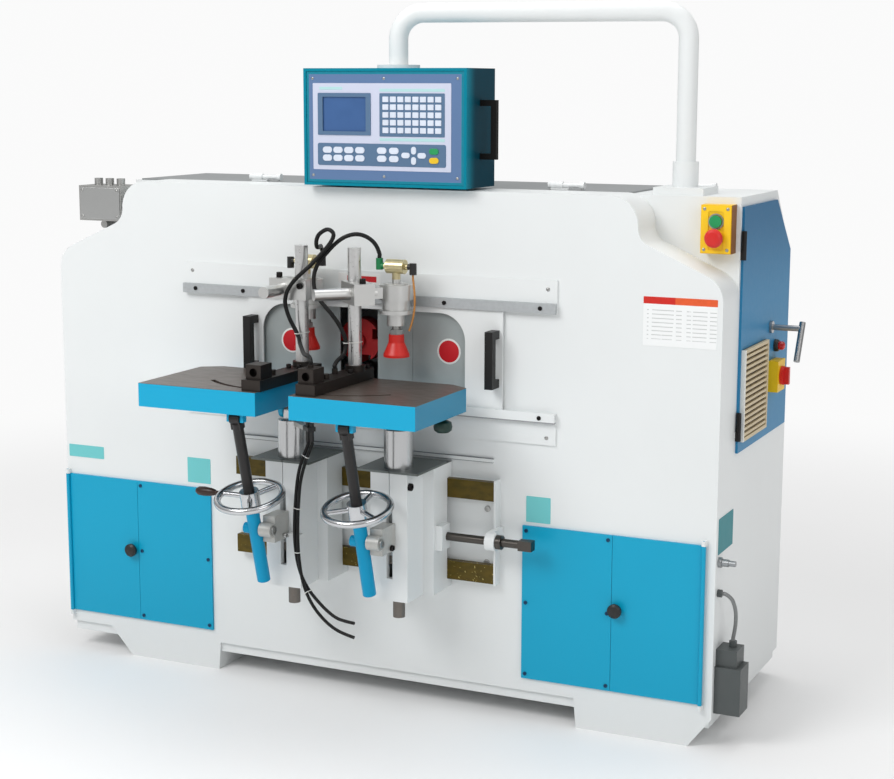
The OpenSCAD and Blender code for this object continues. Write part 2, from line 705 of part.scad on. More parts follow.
// Sliding guards: half an arch each, with a bow handle
guard_y = -rail_back - gap;
guard_z0 = rail_low_z - groove_deep;
guard_z1 = rail_top_z + groove_deep - 1 - gap;
handle_z0 = table_z - 8;
handle_h = 136;
handle_d = 20;
handle_out = 52;
module guard(s, stile) {
    edge = arch_half + stile;
    slab(guard_y - guard_t, guard_y) difference() {
        polygon([[s*gap, guard_z0], [s*edge, guard_z0], [s*edge, guard_z1], [s*gap, guard_z1]]);
        polygon(concat([[-s, guard_z0 - 1], [s*arch_half, guard_z0 - 1]],
            [for (p = arc(arch_half - arch_r, arch_z - arch_r, arch_r, 0, 90)) [s*p[0], p[1]]],
            [[-s, arch_z]]));
    }
    x = s*(edge - 18);
    for (z = [handle_z0, handle_z0 + handle_h - handle_d])
        block([x - handle_d/2, -handle_out, z], [x + handle_d/2, guard_y - guard_t, z + handle_d]);
    block([x - handle_d/2, -handle_out, handle_z0],
        [x + handle_d/2, -handle_out + handle_d, handle_z0 + handle_h]);
}
module left_guard() place() color("white") guard(-1, left_stile);
module right_guard() place() color("white") guard(1, right_stile);

// Cutter head: carriage on the cross rails, lifting head with its motor, and the cutter
head_x = -34;
cutter_z = 892;
cutter_d = 110;
cutter_y = 46;
spindle_d = 30;
motor_d = 140;
motor_y = 150;
motor_l = 130;
car_y0 = motor_y + motor_l + 4;
car_t = 24;
car_half = 110;
car_top = 1090;
module cross_carriage() place() color("dimgray") difference() {
    union() {
        block([head_x - car_half, rail_y[0] - 26, ped_z + 6],
            [head_x + car_half, rail_y[1] + 26, ped_z + xrail_h + 24]);
        block([head_x - car_half, car_y0 + car_t, ped_z + 6], [head_x + car_half, car_y0 + 2*car_t, car_top]);
    }
    for (y = rail_y) block([-half_w, y - xrail_w/2 - run, ped_z],
        [half_w, y + xrail_w/2 + run, ped_z + xrail_h]);
}
module cutter_head() place() color("gray") difference() {
    union() {
        block([head_x - 80, car_y0, cutter_z - 100], [head_x + 80, car_y0 + car_t, cutter_z + 100]);
        rod_y([head_x, motor_y, cutter_z], motor_d, car_y0 - motor_y);
        rod_y([head_x, motor_y - 40, cutter_z], 70, 40);
    }
    rod_y([head_x, motor_y - 41, cutter_z], spindle_d + 2*run, 100);
}
// Four-knife cutter block on its spindle
knife_n = 4;
module cutter() place() color("firebrick") {
    difference() {
        rod_y([head_x, cutter_y, cutter_z], cutter_d, 40);
        for (i = [0:knife_n - 1]) translate([head_x, cutter_y - 1, cutter_z]) rotate([0, 360*i/knife_n, 0])
            translate([cutter_d/2 - 20, 0, 4]) cube([30, 42, 26]);
    }
    rod_y([head_x, cutter_y + 40, cutter_z], spindle_d, motor_y + 50 - cutter_y - 40);
    rod_y([head_x, cutter_y - 10, cutter_z], 34, 10);
}

// Saddles: a slide plate on the ways with keepers over them, a column block with its slot, a chip plate
slide_front = block_front - 86;
slide_off = 10;
keeper_gap = 0.5;
slot_w = 16;
slot_z0 = 368;
slot_z1 = 546;
slit = 2;
chip_t = 5;
nut_l = 18;
stud_d = 29;
module saddle(x) difference() {
    x0 = x - slide_off - slide_w/2;
    union() {
        block([x0, -slide_front, saddle_z0], [x0 + slide_w, -way_front, saddle_z1]);
        for (z = [[saddle_z0, way_z[0] - keeper_gap], [way_z[1] + way_h + keeper_gap, saddle_z1]])
            block([x0, -way_front - 1, z[0]], [x0 + slide_w, -2, z[1]]);
        block([x - block_w/2, -block_front, saddle_z0], [x + block_w/2, -slide_front + 1, saddle_z1]);
        block([x0 + 8, -block_front - 2, saddle_z1], [x0 + slide_w, -way_front, saddle_z1 + chip_t]);
    }
    rod_z([x, -lift_y, saddle_z0 + 12], lift_d + 2*run, saddle_z1);
    rod_z([x, -lift_y, saddle_z0 - 1], stud_d + 1, saddle_z1);
    block([x - slot_w/2, -block_front - 1, slot_z0], [x + slot_w/2, -lift_y, slot_z1]);
    block([x - slit/2, -block_front - 3, slot_z1 - 1], [x + slit/2, -lift_y, saddle_z1 + chip_t + 1]);
}
clip_z = 448;
module left_saddle() place() color("whitesmoke") {
    saddle(left_lift_x);
    block([left_lift_x + block_w/2 - 28, -block_front - 15, clip_z],
        [left_lift_x + block_w/2 + 8, -block_front, clip_z + 4]);
}
nut_x = right_lift_x - slide_off + slide_w/2;
screw_in = 44;
screw_x0 = nut_x - screw_in;
screw_room = screw_in + 70;
module right_saddle() place() color("whitesmoke") difference() {
    union() {
        saddle(right_lift_x);
        block([nut_x, screw_y - 30, screw_z - 30], [nut_x + nut_l, screw_y + 13, screw_z + 30]);
    }
    rod_x([nut_x - screw_room, screw_y, screw_z], screw_d + 2*gap, screw_room + nut_l + 1);
}
module lead_screw() place() color("dimgray") {
    rod_x([screw_x0, screw_y, screw_z], screw_d, screw_end - screw_x0);
    rod_x([way_x1 + bearing_t + 10, screw_y, screw_z], screw_d + 14, 14);
    block([screw_end - 34, screw_y - 12, screw_z - 12], [screw_end, screw_y + 12, screw_z + 12]);
}

// Lifting columns with the tilt pin, and the strut bracket that runs in the saddle's slot
hinge_z = 742;
tongue_w = 30;
tilt_pin_d = 20;
lug_t = 12;
lug_gap = 1;
column_z0 = 400;
stud_z0 = 262;
neck_h = 30;
arm_h = 64;
arm_t = 16;
pivot_d = 14;
eye_d = 34;
pin_reach = strut_off + 22;
column_top = hinge_z - 23;
tongue_d = 32;
module lift_column(x) {
    rod_z([x, -lift_y, column_z0], lift_d, column_top - column_z0);
    rod_z([x, -lift_y, stud_z0], stud_d, column_z0 - stud_z0);
    block([x - tongue_w/2, -lift_y - 16, column_top - 1], [x + tongue_w/2, -lift_y + 16, hinge_z]);
    rod_x([x - tongue_w/2, -lift_y, hinge_z], tongue_d, tongue_w);
    rod_x([x - tongue_w/2 - lug_gap - lug_t, -lift_y, hinge_z], tilt_pin_d, tongue_w + 2*(lug_gap + lug_t));
    // Neck through the slot, bracket arm and the strut's pivot pin
    block([x - slot_w/2 + 1, -block_front - 2, strut_z - neck_h/2],
        [x + slot_w/2 - 1, -lift_y - lift_d/2 + 8, strut_z + neck_h/2]);
    block([x - arm_t, -strut_y + 8, strut_z - arm_h/2], [x + arm_t, -block_front - 1, strut_z + arm_h/2]);
    rod_x([x - arm_t, -strut_y, strut_z], eye_d, 2*arm_t);
    rod_x([x - pin_reach, -strut_y, strut_z], pivot_d, pin_reach);
}
// Bracket on the left column with the two fittings that the supply hoses hang from
bracket_t = 10;
fitting_z = 684;
module left_column() place() color("silver") {
    lift_column(left_lift_x);
    translate([left_lift_x, -lift_y, column_top - bracket_t]) {
        rotate([0, 0, atan2(-68, 87)]) translate([0, -10, 0]) cube([122, 20, bracket_t]);
    }
    for (p = [[-40, -207], [-28, -210]]) rod_z([p[0], p[1], fitting_z], 11, 44);
}
module right_column() place() color("silver") lift_column(right_lift_x);

// Work tables: a plate with a skirt, tilt lugs, an arc slot for the fence and a strut ear
table_y0 = -table_back - table_d;
table_y1 = -table_back;
skirt = 12;
corner_cut = 30;
eye_pin_d = 12;
arc_r = 236;
arc_slot = 12;
fence_pivot_y = -82;
fence_pin_d = 14;
left_fence_x = -108;
right_fence_x = 35;
// Plan of a table from its inner edge at x outwards, drawn in by an inset
function table_plan(x, s, e) = [[x + s*e, table_y0 + e], [x + s*(table_w - e), table_y0 + e],
    [x + s*(table_w - e), table_y1 - corner_cut], [x + s*(table_w - 1.6*corner_cut), table_y1 - e],
    [x + s*e, table_y1 - e]];
module table(x, s, lift_x, pivot_x) {
    z0 = table_z - table_h;
    difference() {
        translate([0, 0, z0]) linear_extrude(table_h) polygon(table_plan(x, s, 0));
        translate([0, 0, z0 - 1]) linear_extrude(table_h - table_plate + 1) polygon(table_plan(x, s, skirt));
        rod_z([pivot_x, fence_pivot_y, z0], fence_pin_d + 2*run, table_h + 1);
        translate([pivot_x, fence_pivot_y, table_z - 7]) intersection() {
            difference() {
                cylinder(r = arc_r + arc_slot/2, h = 8, $fn = 128);
                translate([0, 0, -1]) cylinder(r = arc_r - arc_slot/2, h = 10, $fn = 128);
            }
            linear_extrude(8) polygon([[0, 0], [-s*30, -400], [s*400, -400]]);
        }
    }
    for (k = [-1, 1]) {
        lug_x = lift_x + k*(tongue_w/2 + lug_gap + lug_t/2) - lug_t/2;
        difference() {
            union() {
                block([lug_x, -lift_y - 20, hinge_z],
                    [lug_x + lug_t, -lift_y + 20, table_z - table_plate + 1]);
                rod_x([lug_x, -lift_y, hinge_z], 40, lug_t);
            }
            rod_x([lug_x - 1, -lift_y, hinge_z], tilt_pin_d + 2*run, lug_t + 2);
        }
    }
    // Ears and pin for the strut's upper eye
    ear_x = lift_x - strut_off;
    for (k = [-1, 1]) block([ear_x + k*18 - 4, -pivot_y - 8, strut_top_z - 8],
        [ear_x + k*18 + 4, -pivot_y + 8, table_z - table_plate + 1]);
    rod_x([ear_x - 20, -pivot_y, strut_top_z], eye_pin_d, 40);
}
module left_table() place() color("saddlebrown")
    table(left_table_x, -1, left_lift_x, left_fence_x);
module right_table() place() color("saddlebrown")
    table(right_table_x, 1, right_lift_x, right_fence_x);

// Tilt struts, drawn upright on their pivot and leaned forward: tube, rod and handwheel
strut_l = norm([pivot_y - strut_y, strut_top_z - strut_z]);
tube_down = 140;
tube_up = 56;
boss_w = 15;
bore_d = rod_d + 2*gap;
eye_w = 26;
eye_clear = 4;
hub_d = 46;
hub_h = 30;
module strut(x) translate([x - strut_off, -strut_y, strut_z]) rotate([wheel_tilt, 0, 0]) children();
module strut_tube(x) strut(x) difference() {
    union() {
        translate([0, 0, -tube_down]) cylinder(d = tube_d, h = tube_down + tube_up);
        rotate([0, 90, 0]) translate([0, 0, -boss_w - 12]) cylinder(d = 26, h = boss_w + 12);
    }
    translate([0, 0, 12]) cylinder(d = bore_d, h = tube_up);
    rotate([0, 90, 0]) translate([0, 0, -22 - run]) cylinder(d = pivot_d + 2*run, h = 60);
}
rod_z0 = 68;
module strut_rod(x) strut(x) difference() {
    union() {
        translate([0, 0, rod_z0]) cylinder(d = rod_d, h = strut_l - rod_z0 - 12);
        translate([-eye_w/2, 0, strut_l]) rotate([0, 90, 0]) cylinder(d = 28, h = eye_w);
        translate([-eye_w/2, -10, strut_l - 26]) cube([eye_w, 20, 20]);
    }
    translate([-eye_w, 0, strut_l]) rotate([0, 90, 0]) cylinder(d = eye_pin_d + eye_clear, h = 2*eye_w);
}
spoke_n = 3;
module handwheel(x, turn) strut(x) difference() {
    union() {
        translate([0, 0, wheel_up]) rotate_extrude() translate([wheel_ring_r, 0]) circle(d = wheel_rim_d);
        translate([0, 0, tube_up + gap]) cylinder(d = hub_d, h = wheel_up + hub_h/2 - tube_up - gap);
        for (i = [0:spoke_n - 1]) translate([0, 0, wheel_up]) rotate([0, 90, turn + 360*i/spoke_n])
            cylinder(d = 13, h = wheel_ring_r);
    }
    translate([0, 0, tube_up]) cylinder(d = bore_d, h = 100);
}
module left_strut_tube() place() color("deepskyblue") strut_tube(left_lift_x);
module right_strut_tube() place() color("deepskyblue") strut_tube(right_lift_x);
module left_strut_rod() place() color("black") strut_rod(left_lift_x);
module right_strut_rod() place() color("black") strut_rod(right_lift_x);
module left_handwheel() place() color("silver") handwheel(left_lift_x, 60);
module right_handwheel() place() color("silver") handwheel(right_lift_x, 90);

// Fences: a bar that swivels on the table, a guide stud in the arc slot, and the hold-down post
fence_back = -60;
fence_front = -350;
fence_top = table_z + fence_h;
post_y = -120;
post_off = 6;
foot_d = 48;
foot_h = 14;
stud_at = fence_pivot_y - arc_r;
bolt_d = 18;
bolt_h = 11;
pivot_cap = 3;
module fence(x) {
    block([x - fence_w/2, fence_front, table_z], [x + fence_w/2, fence_back, fence_top]);
    rod_z([x, fence_pivot_y, table_z - 16], fence_pin_d, 17);
    rod_z([x, stud_at, table_z - 6], 10, 7);
    rod_z([x + post_off, post_y, fence_top - 1], foot_d, foot_h + 1);
    rod_z([x + post_off, post_y, fence_top - 1], post_d, post_top - fence_top + 1);
    rod_z([x, fence_front + 96, fence_top - 1], bolt_d, bolt_h + 1);
    rod_z([x, fence_pivot_y, fence_top - 1], bolt_d, pivot_cap + 1);
}
// Stop block at the front end of the left fence
module left_fence() place() color("silver") {
    fence(left_fence_x);
    difference() {
        block([left_fence_x - 20, -338, fence_top], [left_fence_x + 20, -288, fence_top + 34]);
        rod_y([left_fence_x, -339, fence_top + 16], 20, 20);
    }
}
// The right fence also carries the air valve that both hoses run to
valve_lo = [right_fence_x - 25, -338, fence_top];
valve_hi = [right_fence_x + 15, -288, fence_top + 34];
valve_port = [28, -310, 886];
side_port = [20, -182, 858];
module right_fence() place() color("silver") {
    fence(right_fence_x);
    difference() {
        block(valve_lo, valve_hi);
        rod_y([right_fence_x - 5, valve_lo[1] - 1, fence_top + 16], 20, 20);
    }
    rod_z([valve_port[0], valve_port[1], valve_hi[2]], 13, valve_port[2] - valve_hi[2]);
    rod_z([side_port[0], side_port[1], fence_top], 14, side_port[2] - fence_top);
}

// Hold-downs, drawn about the post and turned: clamp block, arm rod, air cylinder and tee
clamp_w = 100;
clamp_d = 50;
clamp_h = 50;
clamp_in = 25;
clamp_slit = 2;
arm_off = 37;
cyl_z = arm_z - 51;
cyl_h = 69;
flange_over = 14;
flange_h = 9;
nose_d = 44;
nose_h = 28;
presser_d = 20;
ring_h = 36;
tee_z = cyl_z + cyl_h;
tee_up = 42;
tee_d = 34;
tee_l = 46;
elbow_x = 44;
elbow_d = 17;
elbow_end = 18;
module hold_down(s, arm_front, cyl) {
    difference() {
        union() {
            translate([s*(clamp_w/2 - clamp_in), 0, arm_z]) cube([clamp_w, clamp_d, clamp_h], center = true);
            rod_y([s*arm_off, arm_front, arm_z], arm_d, 40 - arm_front);
            translate([cyl[0], cyl[1], arm_z - ring_h/2]) cylinder(d = cyl_d + flange_over, h = ring_h);
            translate([min(cyl[0], s*arm_off) - 13, 30, arm_z - 13])
                cube([abs(s*arm_off - cyl[0]) + 26, cyl[1] - 30, 26]);
        }
        rod_z([0, 0, arm_z - clamp_h], post_d + 2*run, 2*clamp_h);
        translate([s*clamp_in, 0, arm_z]) translate([-s*clamp_in*2, 0, 0])
            cube([2*clamp_in, clamp_slit, 2*clamp_h], center = true);
        translate([cyl[0], cyl[1], arm_z - ring_h]) cylinder(d = cyl_d, h = 2*ring_h);
    }
}
// Cylinder with its tee; the hose elbow points up on side h, the other one down
module air_unit(h) {
    difference() {
        union() {
            rod_z([0, 0, cyl_z], cyl_d, cyl_h);
            rod_z([0, 0, cyl_z], cyl_d + flange_over, flange_h);
            rod_z([0, 0, cyl_z + cyl_h - 10], cyl_d - 8, 12);
            rod_z([0, 0, cyl_z - nose_h], nose_d, nose_h + 1);
        }
        rod_z([0, 0, cyl_z - nose_h - 1], presser_d + 2*run, nose_h + 54);
    }
    rod_z([0, 0, tee_z + 2], 20, tee_up - 4);
    rod_x([-tee_l/2, 0, tee_z + tee_up], tee_d, tee_l);
    rod_x([-elbow_x, 0, tee_z + tee_up], 14, 2*elbow_x);
    rod_z([h*elbow_x, 0, tee_z + tee_up - 9], elbow_d, 9 + elbow_end);
    rod_z([-h*elbow_x, 0, tee_z + tee_up - elbow_end], elbow_d, 9 + elbow_end);
}
left_cyl = [-18, 56];
right_cyl = [arm_off, 91];
left_post = [left_fence_x + post_off, post_y, 0];
right_post = [right_fence_x + post_off, post_y, 0];
right_back = right_post + [right_cyl[0]*cos(right_arm_turn) + right_cyl[1]*sin(right_arm_turn),
    right_cyl[1]*cos(right_arm_turn) - right_cyl[0]*sin(right_arm_turn), 0];
module left_hold_down() place() color("silver") {
    translate(left_post) hold_down(-1, -116, left_cyl);
    translate(left_post + [left_cyl[0], left_cyl[1], 0]) air_unit(1);
}
module right_hold_down() place() color("silver") {
    translate(right_post) rotate([0, 0, -right_arm_turn]) hold_down(1, -112, right_cyl);
    translate(right_back) air_unit(-1);
}

// Pressers: piston rod, lock nut and rubber cup
cup_z = cyl_z - 103;
cup_h = 53;
module presser() {
    translate([0, 0, cup_z]) rotate_extrude()
        polygon([[0, 0], [31, 0], [31, 6], [19, 34], [18, cup_h], [0, cup_h]]);
    rod_z([0, 0, cup_z + cup_h - 1], presser_d, 96);
    translate([0, 0, cup_z + cup_h]) cylinder(d = 32, h = 12, $fn = 6);
}
module left_presser() place() color("crimson") translate(left_post + [left_cyl[0], left_cyl[1], 0]) presser();
module right_presser() place() color("crimson") translate(right_back) presser();

// Air hoses: from each tee, tied together over the posts, down to the valve on the right fence
hose_d = 10;
tee_top = tee_z + tee_up + elbow_end;
left_start = left_post + [left_cyl[0] + elbow_x, left_cyl[1], tee_top];
right_start = right_back + [-elbow_x, 0, tee_top];
hose_left = [left_start, left_start + [0, 0, 4], left_start + [0, 0, 8], [-70, -82, 1134],
    [-62, -104, 1134], [-57, -124, 1136], [-55, -130, 1150], [-46, -132, 1167],
    [-24, -132, 1179], [-8, -132, 1170], [-12, -135, 1152],
    [-28, -141, 1130], [-47, -148, 1108], [-62, -153, 1092], [-82, -158, 1074], [-102, -161, 1054],
    [-118, -162, 1030], [-125, -160, 1006], [-122, -158, 985], [-115, -155, 963], [-104, -151, 940],
    [-92, -154, 921], [-76, -176, 909], [-50, -212, 902], [-20, -256, 900], [6, -288, 903],
    [20, -302, 902], valve_port + [0, 0, 8], valve_port + [0, 0, 4], valve_port];
hose_right = [right_start, right_start + [0, 0, 5], right_start + [0, 0, 10], [80, -86, 1143],
    [64, -94, 1160], [40, -103, 1168], [14, -112, 1162], [-8, -121, 1146], [-27, -130, 1124],
    [-43, -138, 1102], [-52, -144, 1080],
    [-52, -150, 1056], [-46, -154, 1034], [-30, -156, 1011], [-8, -156, 989], [14, -154, 962],
    [28, -150, 934], [32, -148, 910], [29, -154, 889], [22, -172, 876], side_port + [0, 0, 8],
    side_port + [0, 0, 4], side_port];
module left_air_hose() place() color("black") sweep(hose_left, hose_d, 8);
module right_air_hose() place() color("black") sweep(hose_right, hose_d, 8);
// Two supply hoses hanging from the left column's bracket, cut open at their lower ends
thin_d = 8;
hose_lower = [[-40, -207, 684], [-40, -207, 680], [-40, -207, 676], [-52, -210, 645], [-61, -213, 615],
    [-68, -213, 580], [-73, -212, 540], [-76, -212, 500], [-77, -212, 465], [-76, -212, 430],
    [-70, -213, 390], [-58, -215, 356], [-36, -219, 324],
    [-4, -224, 296], [26, -228, 276], [54, -231, 265], [95, -235, 262]];
hose_second = [[-28, -210, 684], [-28, -210, 680], [-28, -210, 676], [-40, -213, 645], [-49, -216, 615],
    [-57, -217, 580], [-62, -216, 540], [-65, -216, 500], [-66, -216, 465], [-65, -217, 430],
    [-60, -220, 390], [-50, -226, 352], [-32, -232, 314],
    [-6, -236, 280], [28, -238, 252], [60, -237, 236], [95, -235, 227]];
module supply_hoses() place() color("black") {
    sweep(hose_lower, thin_d, 8);
    sweep(hose_second, thin_d, 8);
}

base_frame();
front_casing();
rear_housing();
electrical_column();
control_gear();
top_cover();
fixed_panels();
guard_rails();
inner_shields();
way_plate();
slide_ways();
junction_box();
button_box();
tool_boxes();
cross_rails();
oil_pump();
oil_hose();
air_inlet();
dust_outlet();
left_door();
left_door_knob();
right_door();
right_door_knob();
cabinet_door();
cabinet_vent();
isolator_box();
cabinet_lever();
isolator_knob();
start_button();
stop_button();
swing_arm();
control_box();
control_face();
left_guard();
right_guard();
cross_carriage();
cutter_head();
cutter();
left_saddle();
right_saddle();
lead_screw();
left_column();
right_column();
left_table();
right_table();
left_strut_tube();
right_strut_tube();
left_strut_rod();
right_strut_rod();
left_handwheel();
right_handwheel();
left_fence();
right_fence();
left_hold_down();
right_hold_down();
left_presser();
right_presser();
left_air_hose();
right_air_hose();
supply_hoses();
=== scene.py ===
"""Looks of a two-table tenoning machine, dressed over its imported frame. Metres, +Z up, front towards -Y."""
import math
import bpy
import numpy as np
from mathutils import Matrix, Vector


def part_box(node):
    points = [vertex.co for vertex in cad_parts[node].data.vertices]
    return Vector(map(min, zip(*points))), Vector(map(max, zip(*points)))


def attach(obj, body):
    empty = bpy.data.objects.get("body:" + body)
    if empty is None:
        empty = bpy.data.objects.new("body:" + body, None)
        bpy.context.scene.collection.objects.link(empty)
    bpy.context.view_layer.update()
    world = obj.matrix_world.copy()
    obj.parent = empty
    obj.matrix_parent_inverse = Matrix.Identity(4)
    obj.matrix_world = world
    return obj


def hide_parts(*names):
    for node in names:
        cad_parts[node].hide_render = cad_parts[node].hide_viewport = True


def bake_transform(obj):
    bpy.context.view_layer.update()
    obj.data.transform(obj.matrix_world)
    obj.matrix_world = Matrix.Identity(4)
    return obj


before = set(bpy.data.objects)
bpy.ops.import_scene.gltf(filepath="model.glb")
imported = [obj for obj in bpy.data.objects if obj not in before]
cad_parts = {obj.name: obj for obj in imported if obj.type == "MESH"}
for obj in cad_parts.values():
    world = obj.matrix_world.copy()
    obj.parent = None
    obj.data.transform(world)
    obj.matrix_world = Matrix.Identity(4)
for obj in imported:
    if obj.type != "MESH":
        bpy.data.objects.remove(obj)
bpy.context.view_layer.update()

# Sizes below are written in the machine's own millimetres:
# X from the casing's middle, Y from its front face, Z from the floor
MID_X = (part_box("guard_rails")[0][0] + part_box("guard_rails")[1][0]) / 2
FRONT_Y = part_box("fixed_panels")[1][1]


def at(points):
    """Machine millimetres to the frame's metres: shifted to the casing's middle and front face."""
    return np.asarray(points, float) / 1000 + np.array([MID_X, FRONT_Y, 0])


# Camera: fitted to the photograph's edges
CAMERA_AT = (1984.3, -3767.5, 1516.1)
CAMERA_YAW, CAMERA_PITCH, CAMERA_ROLL = 25.022, 9.836, 0.127
FOCAL_PX, IMAGE_W = 1761.1, 894
SENSOR_W = 36
camera = bpy.data.objects.new("camera", bpy.data.cameras.new("camera"))
bpy.context.scene.collection.objects.link(camera)
yaw, pitch, roll = np.radians([CAMERA_YAW, CAMERA_PITCH, CAMERA_ROLL])
ahead = np.array([-math.sin(yaw) * math.cos(pitch), math.cos(yaw) * math.cos(pitch), -math.sin(pitch)])
level = np.array([math.cos(yaw), math.sin(yaw), 0])
upward = np.cross(level, ahead)
camera_pose = np.eye(4)
camera_pose[:3, 0] = level * math.cos(roll) + upward * math.sin(roll)
camera_pose[:3, 1] = upward * math.cos(roll) - level * math.sin(roll)
camera_pose[:3, 2] = -ahead
camera_pose[:3, 3] = at(CAMERA_AT)
camera.matrix_world = Matrix(camera_pose.tolist())
camera.data.sensor_width = SENSOR_W
camera.data.lens = SENSOR_W * FOCAL_PX / IMAGE_W
camera.data.clip_end = 60
bpy.context.scene.camera = camera


class Socket:
    """A shader socket that takes part in sums: each operator adds one Math node."""

    def __init__(self, finish, socket):
        self.finish = finish
        self.socket = socket

    def math(self, operation, *values):
        return self.finish.node("ShaderNodeMath", {"operation": operation}, dict(enumerate(values)))

    def __add__(self, other):
        return self.math("ADD", self, other)

    __radd__ = __add__

    def __sub__(self, other):
        return self.math("SUBTRACT", self, other)

    def __rsub__(self, other):
        return self.math("SUBTRACT", other, self)

    def __mul__(self, other):
        return self.math("MULTIPLY", self, other)

    __rmul__ = __mul__

    def over(self, limit):
        return self.math("GREATER_THAN", self, limit)

    def under(self, limit):
        return self.math("LESS_THAN", self, limit)

    def clip(self):
        """At most 1, for sums of masks that overlap."""
        return self.math("MINIMUM", self, 1.0)

    def ease(self, low, high):
        """0 below low, 1 above high, smooth between."""
        return self.finish.node("ShaderNodeMapRange", {"interpolation_type": "SMOOTHSTEP"},
                                {"Value": self, "From Min": low, "From Max": high})


class Finish:
    """One material: its nodes are added by node(), and put() sets or links the surface's own sockets."""

    def __init__(self, name):
        self.material = bpy.data.materials.new(name)
        self.material.use_nodes = True
        self.tree = self.material.node_tree
        self.surface = self.tree.nodes["Principled BSDF"]
        self.place = self.node("ShaderNodeTexCoord", {}, {}, "Object")
        parts = self.node("ShaderNodeSeparateXYZ", {}, {0: self.place}, None)
        # Machine millimetres of the shaded point
        self.x = (Socket(self, parts.outputs[0]) - float(MID_X)) * 1000
        self.y = (Socket(self, parts.outputs[1]) - float(FRONT_Y)) * 1000
        self.z = Socket(self, parts.outputs[2]) * 1000

    def node(self, kind, settings, values, output=0):
        """Add one node with its settings and inputs; give back one output, or the node itself for None."""
        made = self.tree.nodes.new(kind)
        for key, value in settings.items():
            setattr(made, key, value)
        for key, value in values.items():
            self.join(made.inputs[key], value)
        return made if output is None else Socket(self, made.outputs[output])

    def join(self, socket, value):
        """Link a socket to another, or set its constant."""
        if isinstance(value, Socket):
            self.tree.links.new(value.socket, socket)
        elif isinstance(value, tuple) and len(value) == 3 and socket.type == "RGBA":
            socket.default_value = (*value, 1)
        else:
            socket.default_value = value

    def put(self, **values):
        for key, value in values.items():
            self.join(self.surface.inputs[key.replace("_", " ")], value)
        return self

    def noise(self, scale, detail=3.0, stretch=(1, 1, 1)):
        """Cloudy pattern from 0 to 1, drawn out along the axes with a small stretch."""
        where = self.node("ShaderNodeVectorMath", {"operation": "MULTIPLY"}, {0: self.place, 1: stretch})
        return self.node("ShaderNodeTexNoise", {}, {"Vector": where, "Scale": scale, "Detail": detail})

    def mix(self, factor, first, second):
        """Colour blend: first where factor is 0, second where it is 1."""
        made = self.node("ShaderNodeMix", {"data_type": "RGBA"}, {}, None)
        for socket, value in zip((made.inputs[0], made.inputs[6], made.inputs[7]), (factor, first, second)):
            self.join(socket, value)
        return Socket(self, made.outputs[2])

    def bump(self, height, strength, distance):
        """Relief from a height pattern; distance in metres."""
        self.put(Normal=self.node("ShaderNodeBump", {}, {"Strength": strength, "Distance": distance,
                                                         "Height": height}))
        return self

    def block(self, low, high):
        """1 inside a box given in machine millimetres, 0 outside; None leaves a side open."""
        parts = []
        for value, a, b in zip((self.x, self.y, self.z), low, high):
            if a is not None:
                parts.append(value.over(a))
            if b is not None:
                parts.append(value.under(b))
        inside = parts[0]
        for part in parts[1:]:
            inside = inside * part
        return inside

    def ring(self, x, y, radius):
        """1 nearer than radius to an upright axis at x, y, 0 outside, in machine millimetres."""
        dx = self.x - x
        dy = self.y - y
        return (dx * dx + dy * dy).under(radius * radius)


def srgb(r, g, b):
    """Display colour, 0 to 255, to linear."""
    c = np.array([r, g, b]) / 255
    return tuple(float(v) for v in np.where(c <= 0.04045, c / 12.92, ((c + 0.055) / 1.055) ** 2.4))


def shade(colour, k):
    """Colour made k times as bright."""
    return tuple(min(1.0, c * k) for c in colour)


WHITE = srgb(228, 231, 231)
BLUE = srgb(0, 160, 198)
STEEL = srgb(176, 176, 176)
TEAL = srgb(0, 128, 150)
BLACK = srgb(24, 23, 23)


def painted(name, colour, rough=0.36, peel=0.05, coat=0.15):
    """Sprayed paint: faint cloudy tone, orange-peel bump, dust low down."""
    f = Finish(name)
    cloud = f.noise(3.2, 4)
    speck = f.noise(60, 3)
    dust = (1 - f.z.ease(60, 420)) * cloud * 0.5
    tone = f.mix(cloud, shade(colour, 0.955), shade(colour, 1.03))
    f.put(Base_Color=f.mix(dust, tone, shade(colour, 0.8)), Roughness=rough + speck * 0.08 + dust * 0.2,
          Coat_Weight=coat * 0.4, Coat_Roughness=0.25, Specular_IOR_Level=0.3)
    return f.bump(f.noise(420, 2), peel, 0.0006)


def metal(name, colour, rough=0.25, grain=(1, 1, 40), depth=0.06, stain=0.25):
    """Machined metal: fine grain drawn along one direction and soft stains."""
    f = Finish(name)
    lines = f.noise(220, 3, grain)
    cloud = f.noise(9, 4)
    f.put(Base_Color=f.mix(cloud * stain + lines * 0.2, colour, shade(colour, 0.6)), Metallic=1.0,
          Roughness=rough + lines * 0.12 + cloud * 0.06)
    return f.bump(lines, depth, 0.0003)


def moulded(name, colour, rough=0.42, grain=0.12):
    """Moulded plastic or rubber: faint mottling and a fine grained skin."""
    f = Finish(name)
    cloud = f.noise(25, 3)
    f.put(Base_Color=f.mix(cloud, shade(colour, 0.88), shade(colour, 1.08)), Roughness=rough + cloud * 0.1)
    return f.bump(f.noise(900, 2), grain, 0.0004)


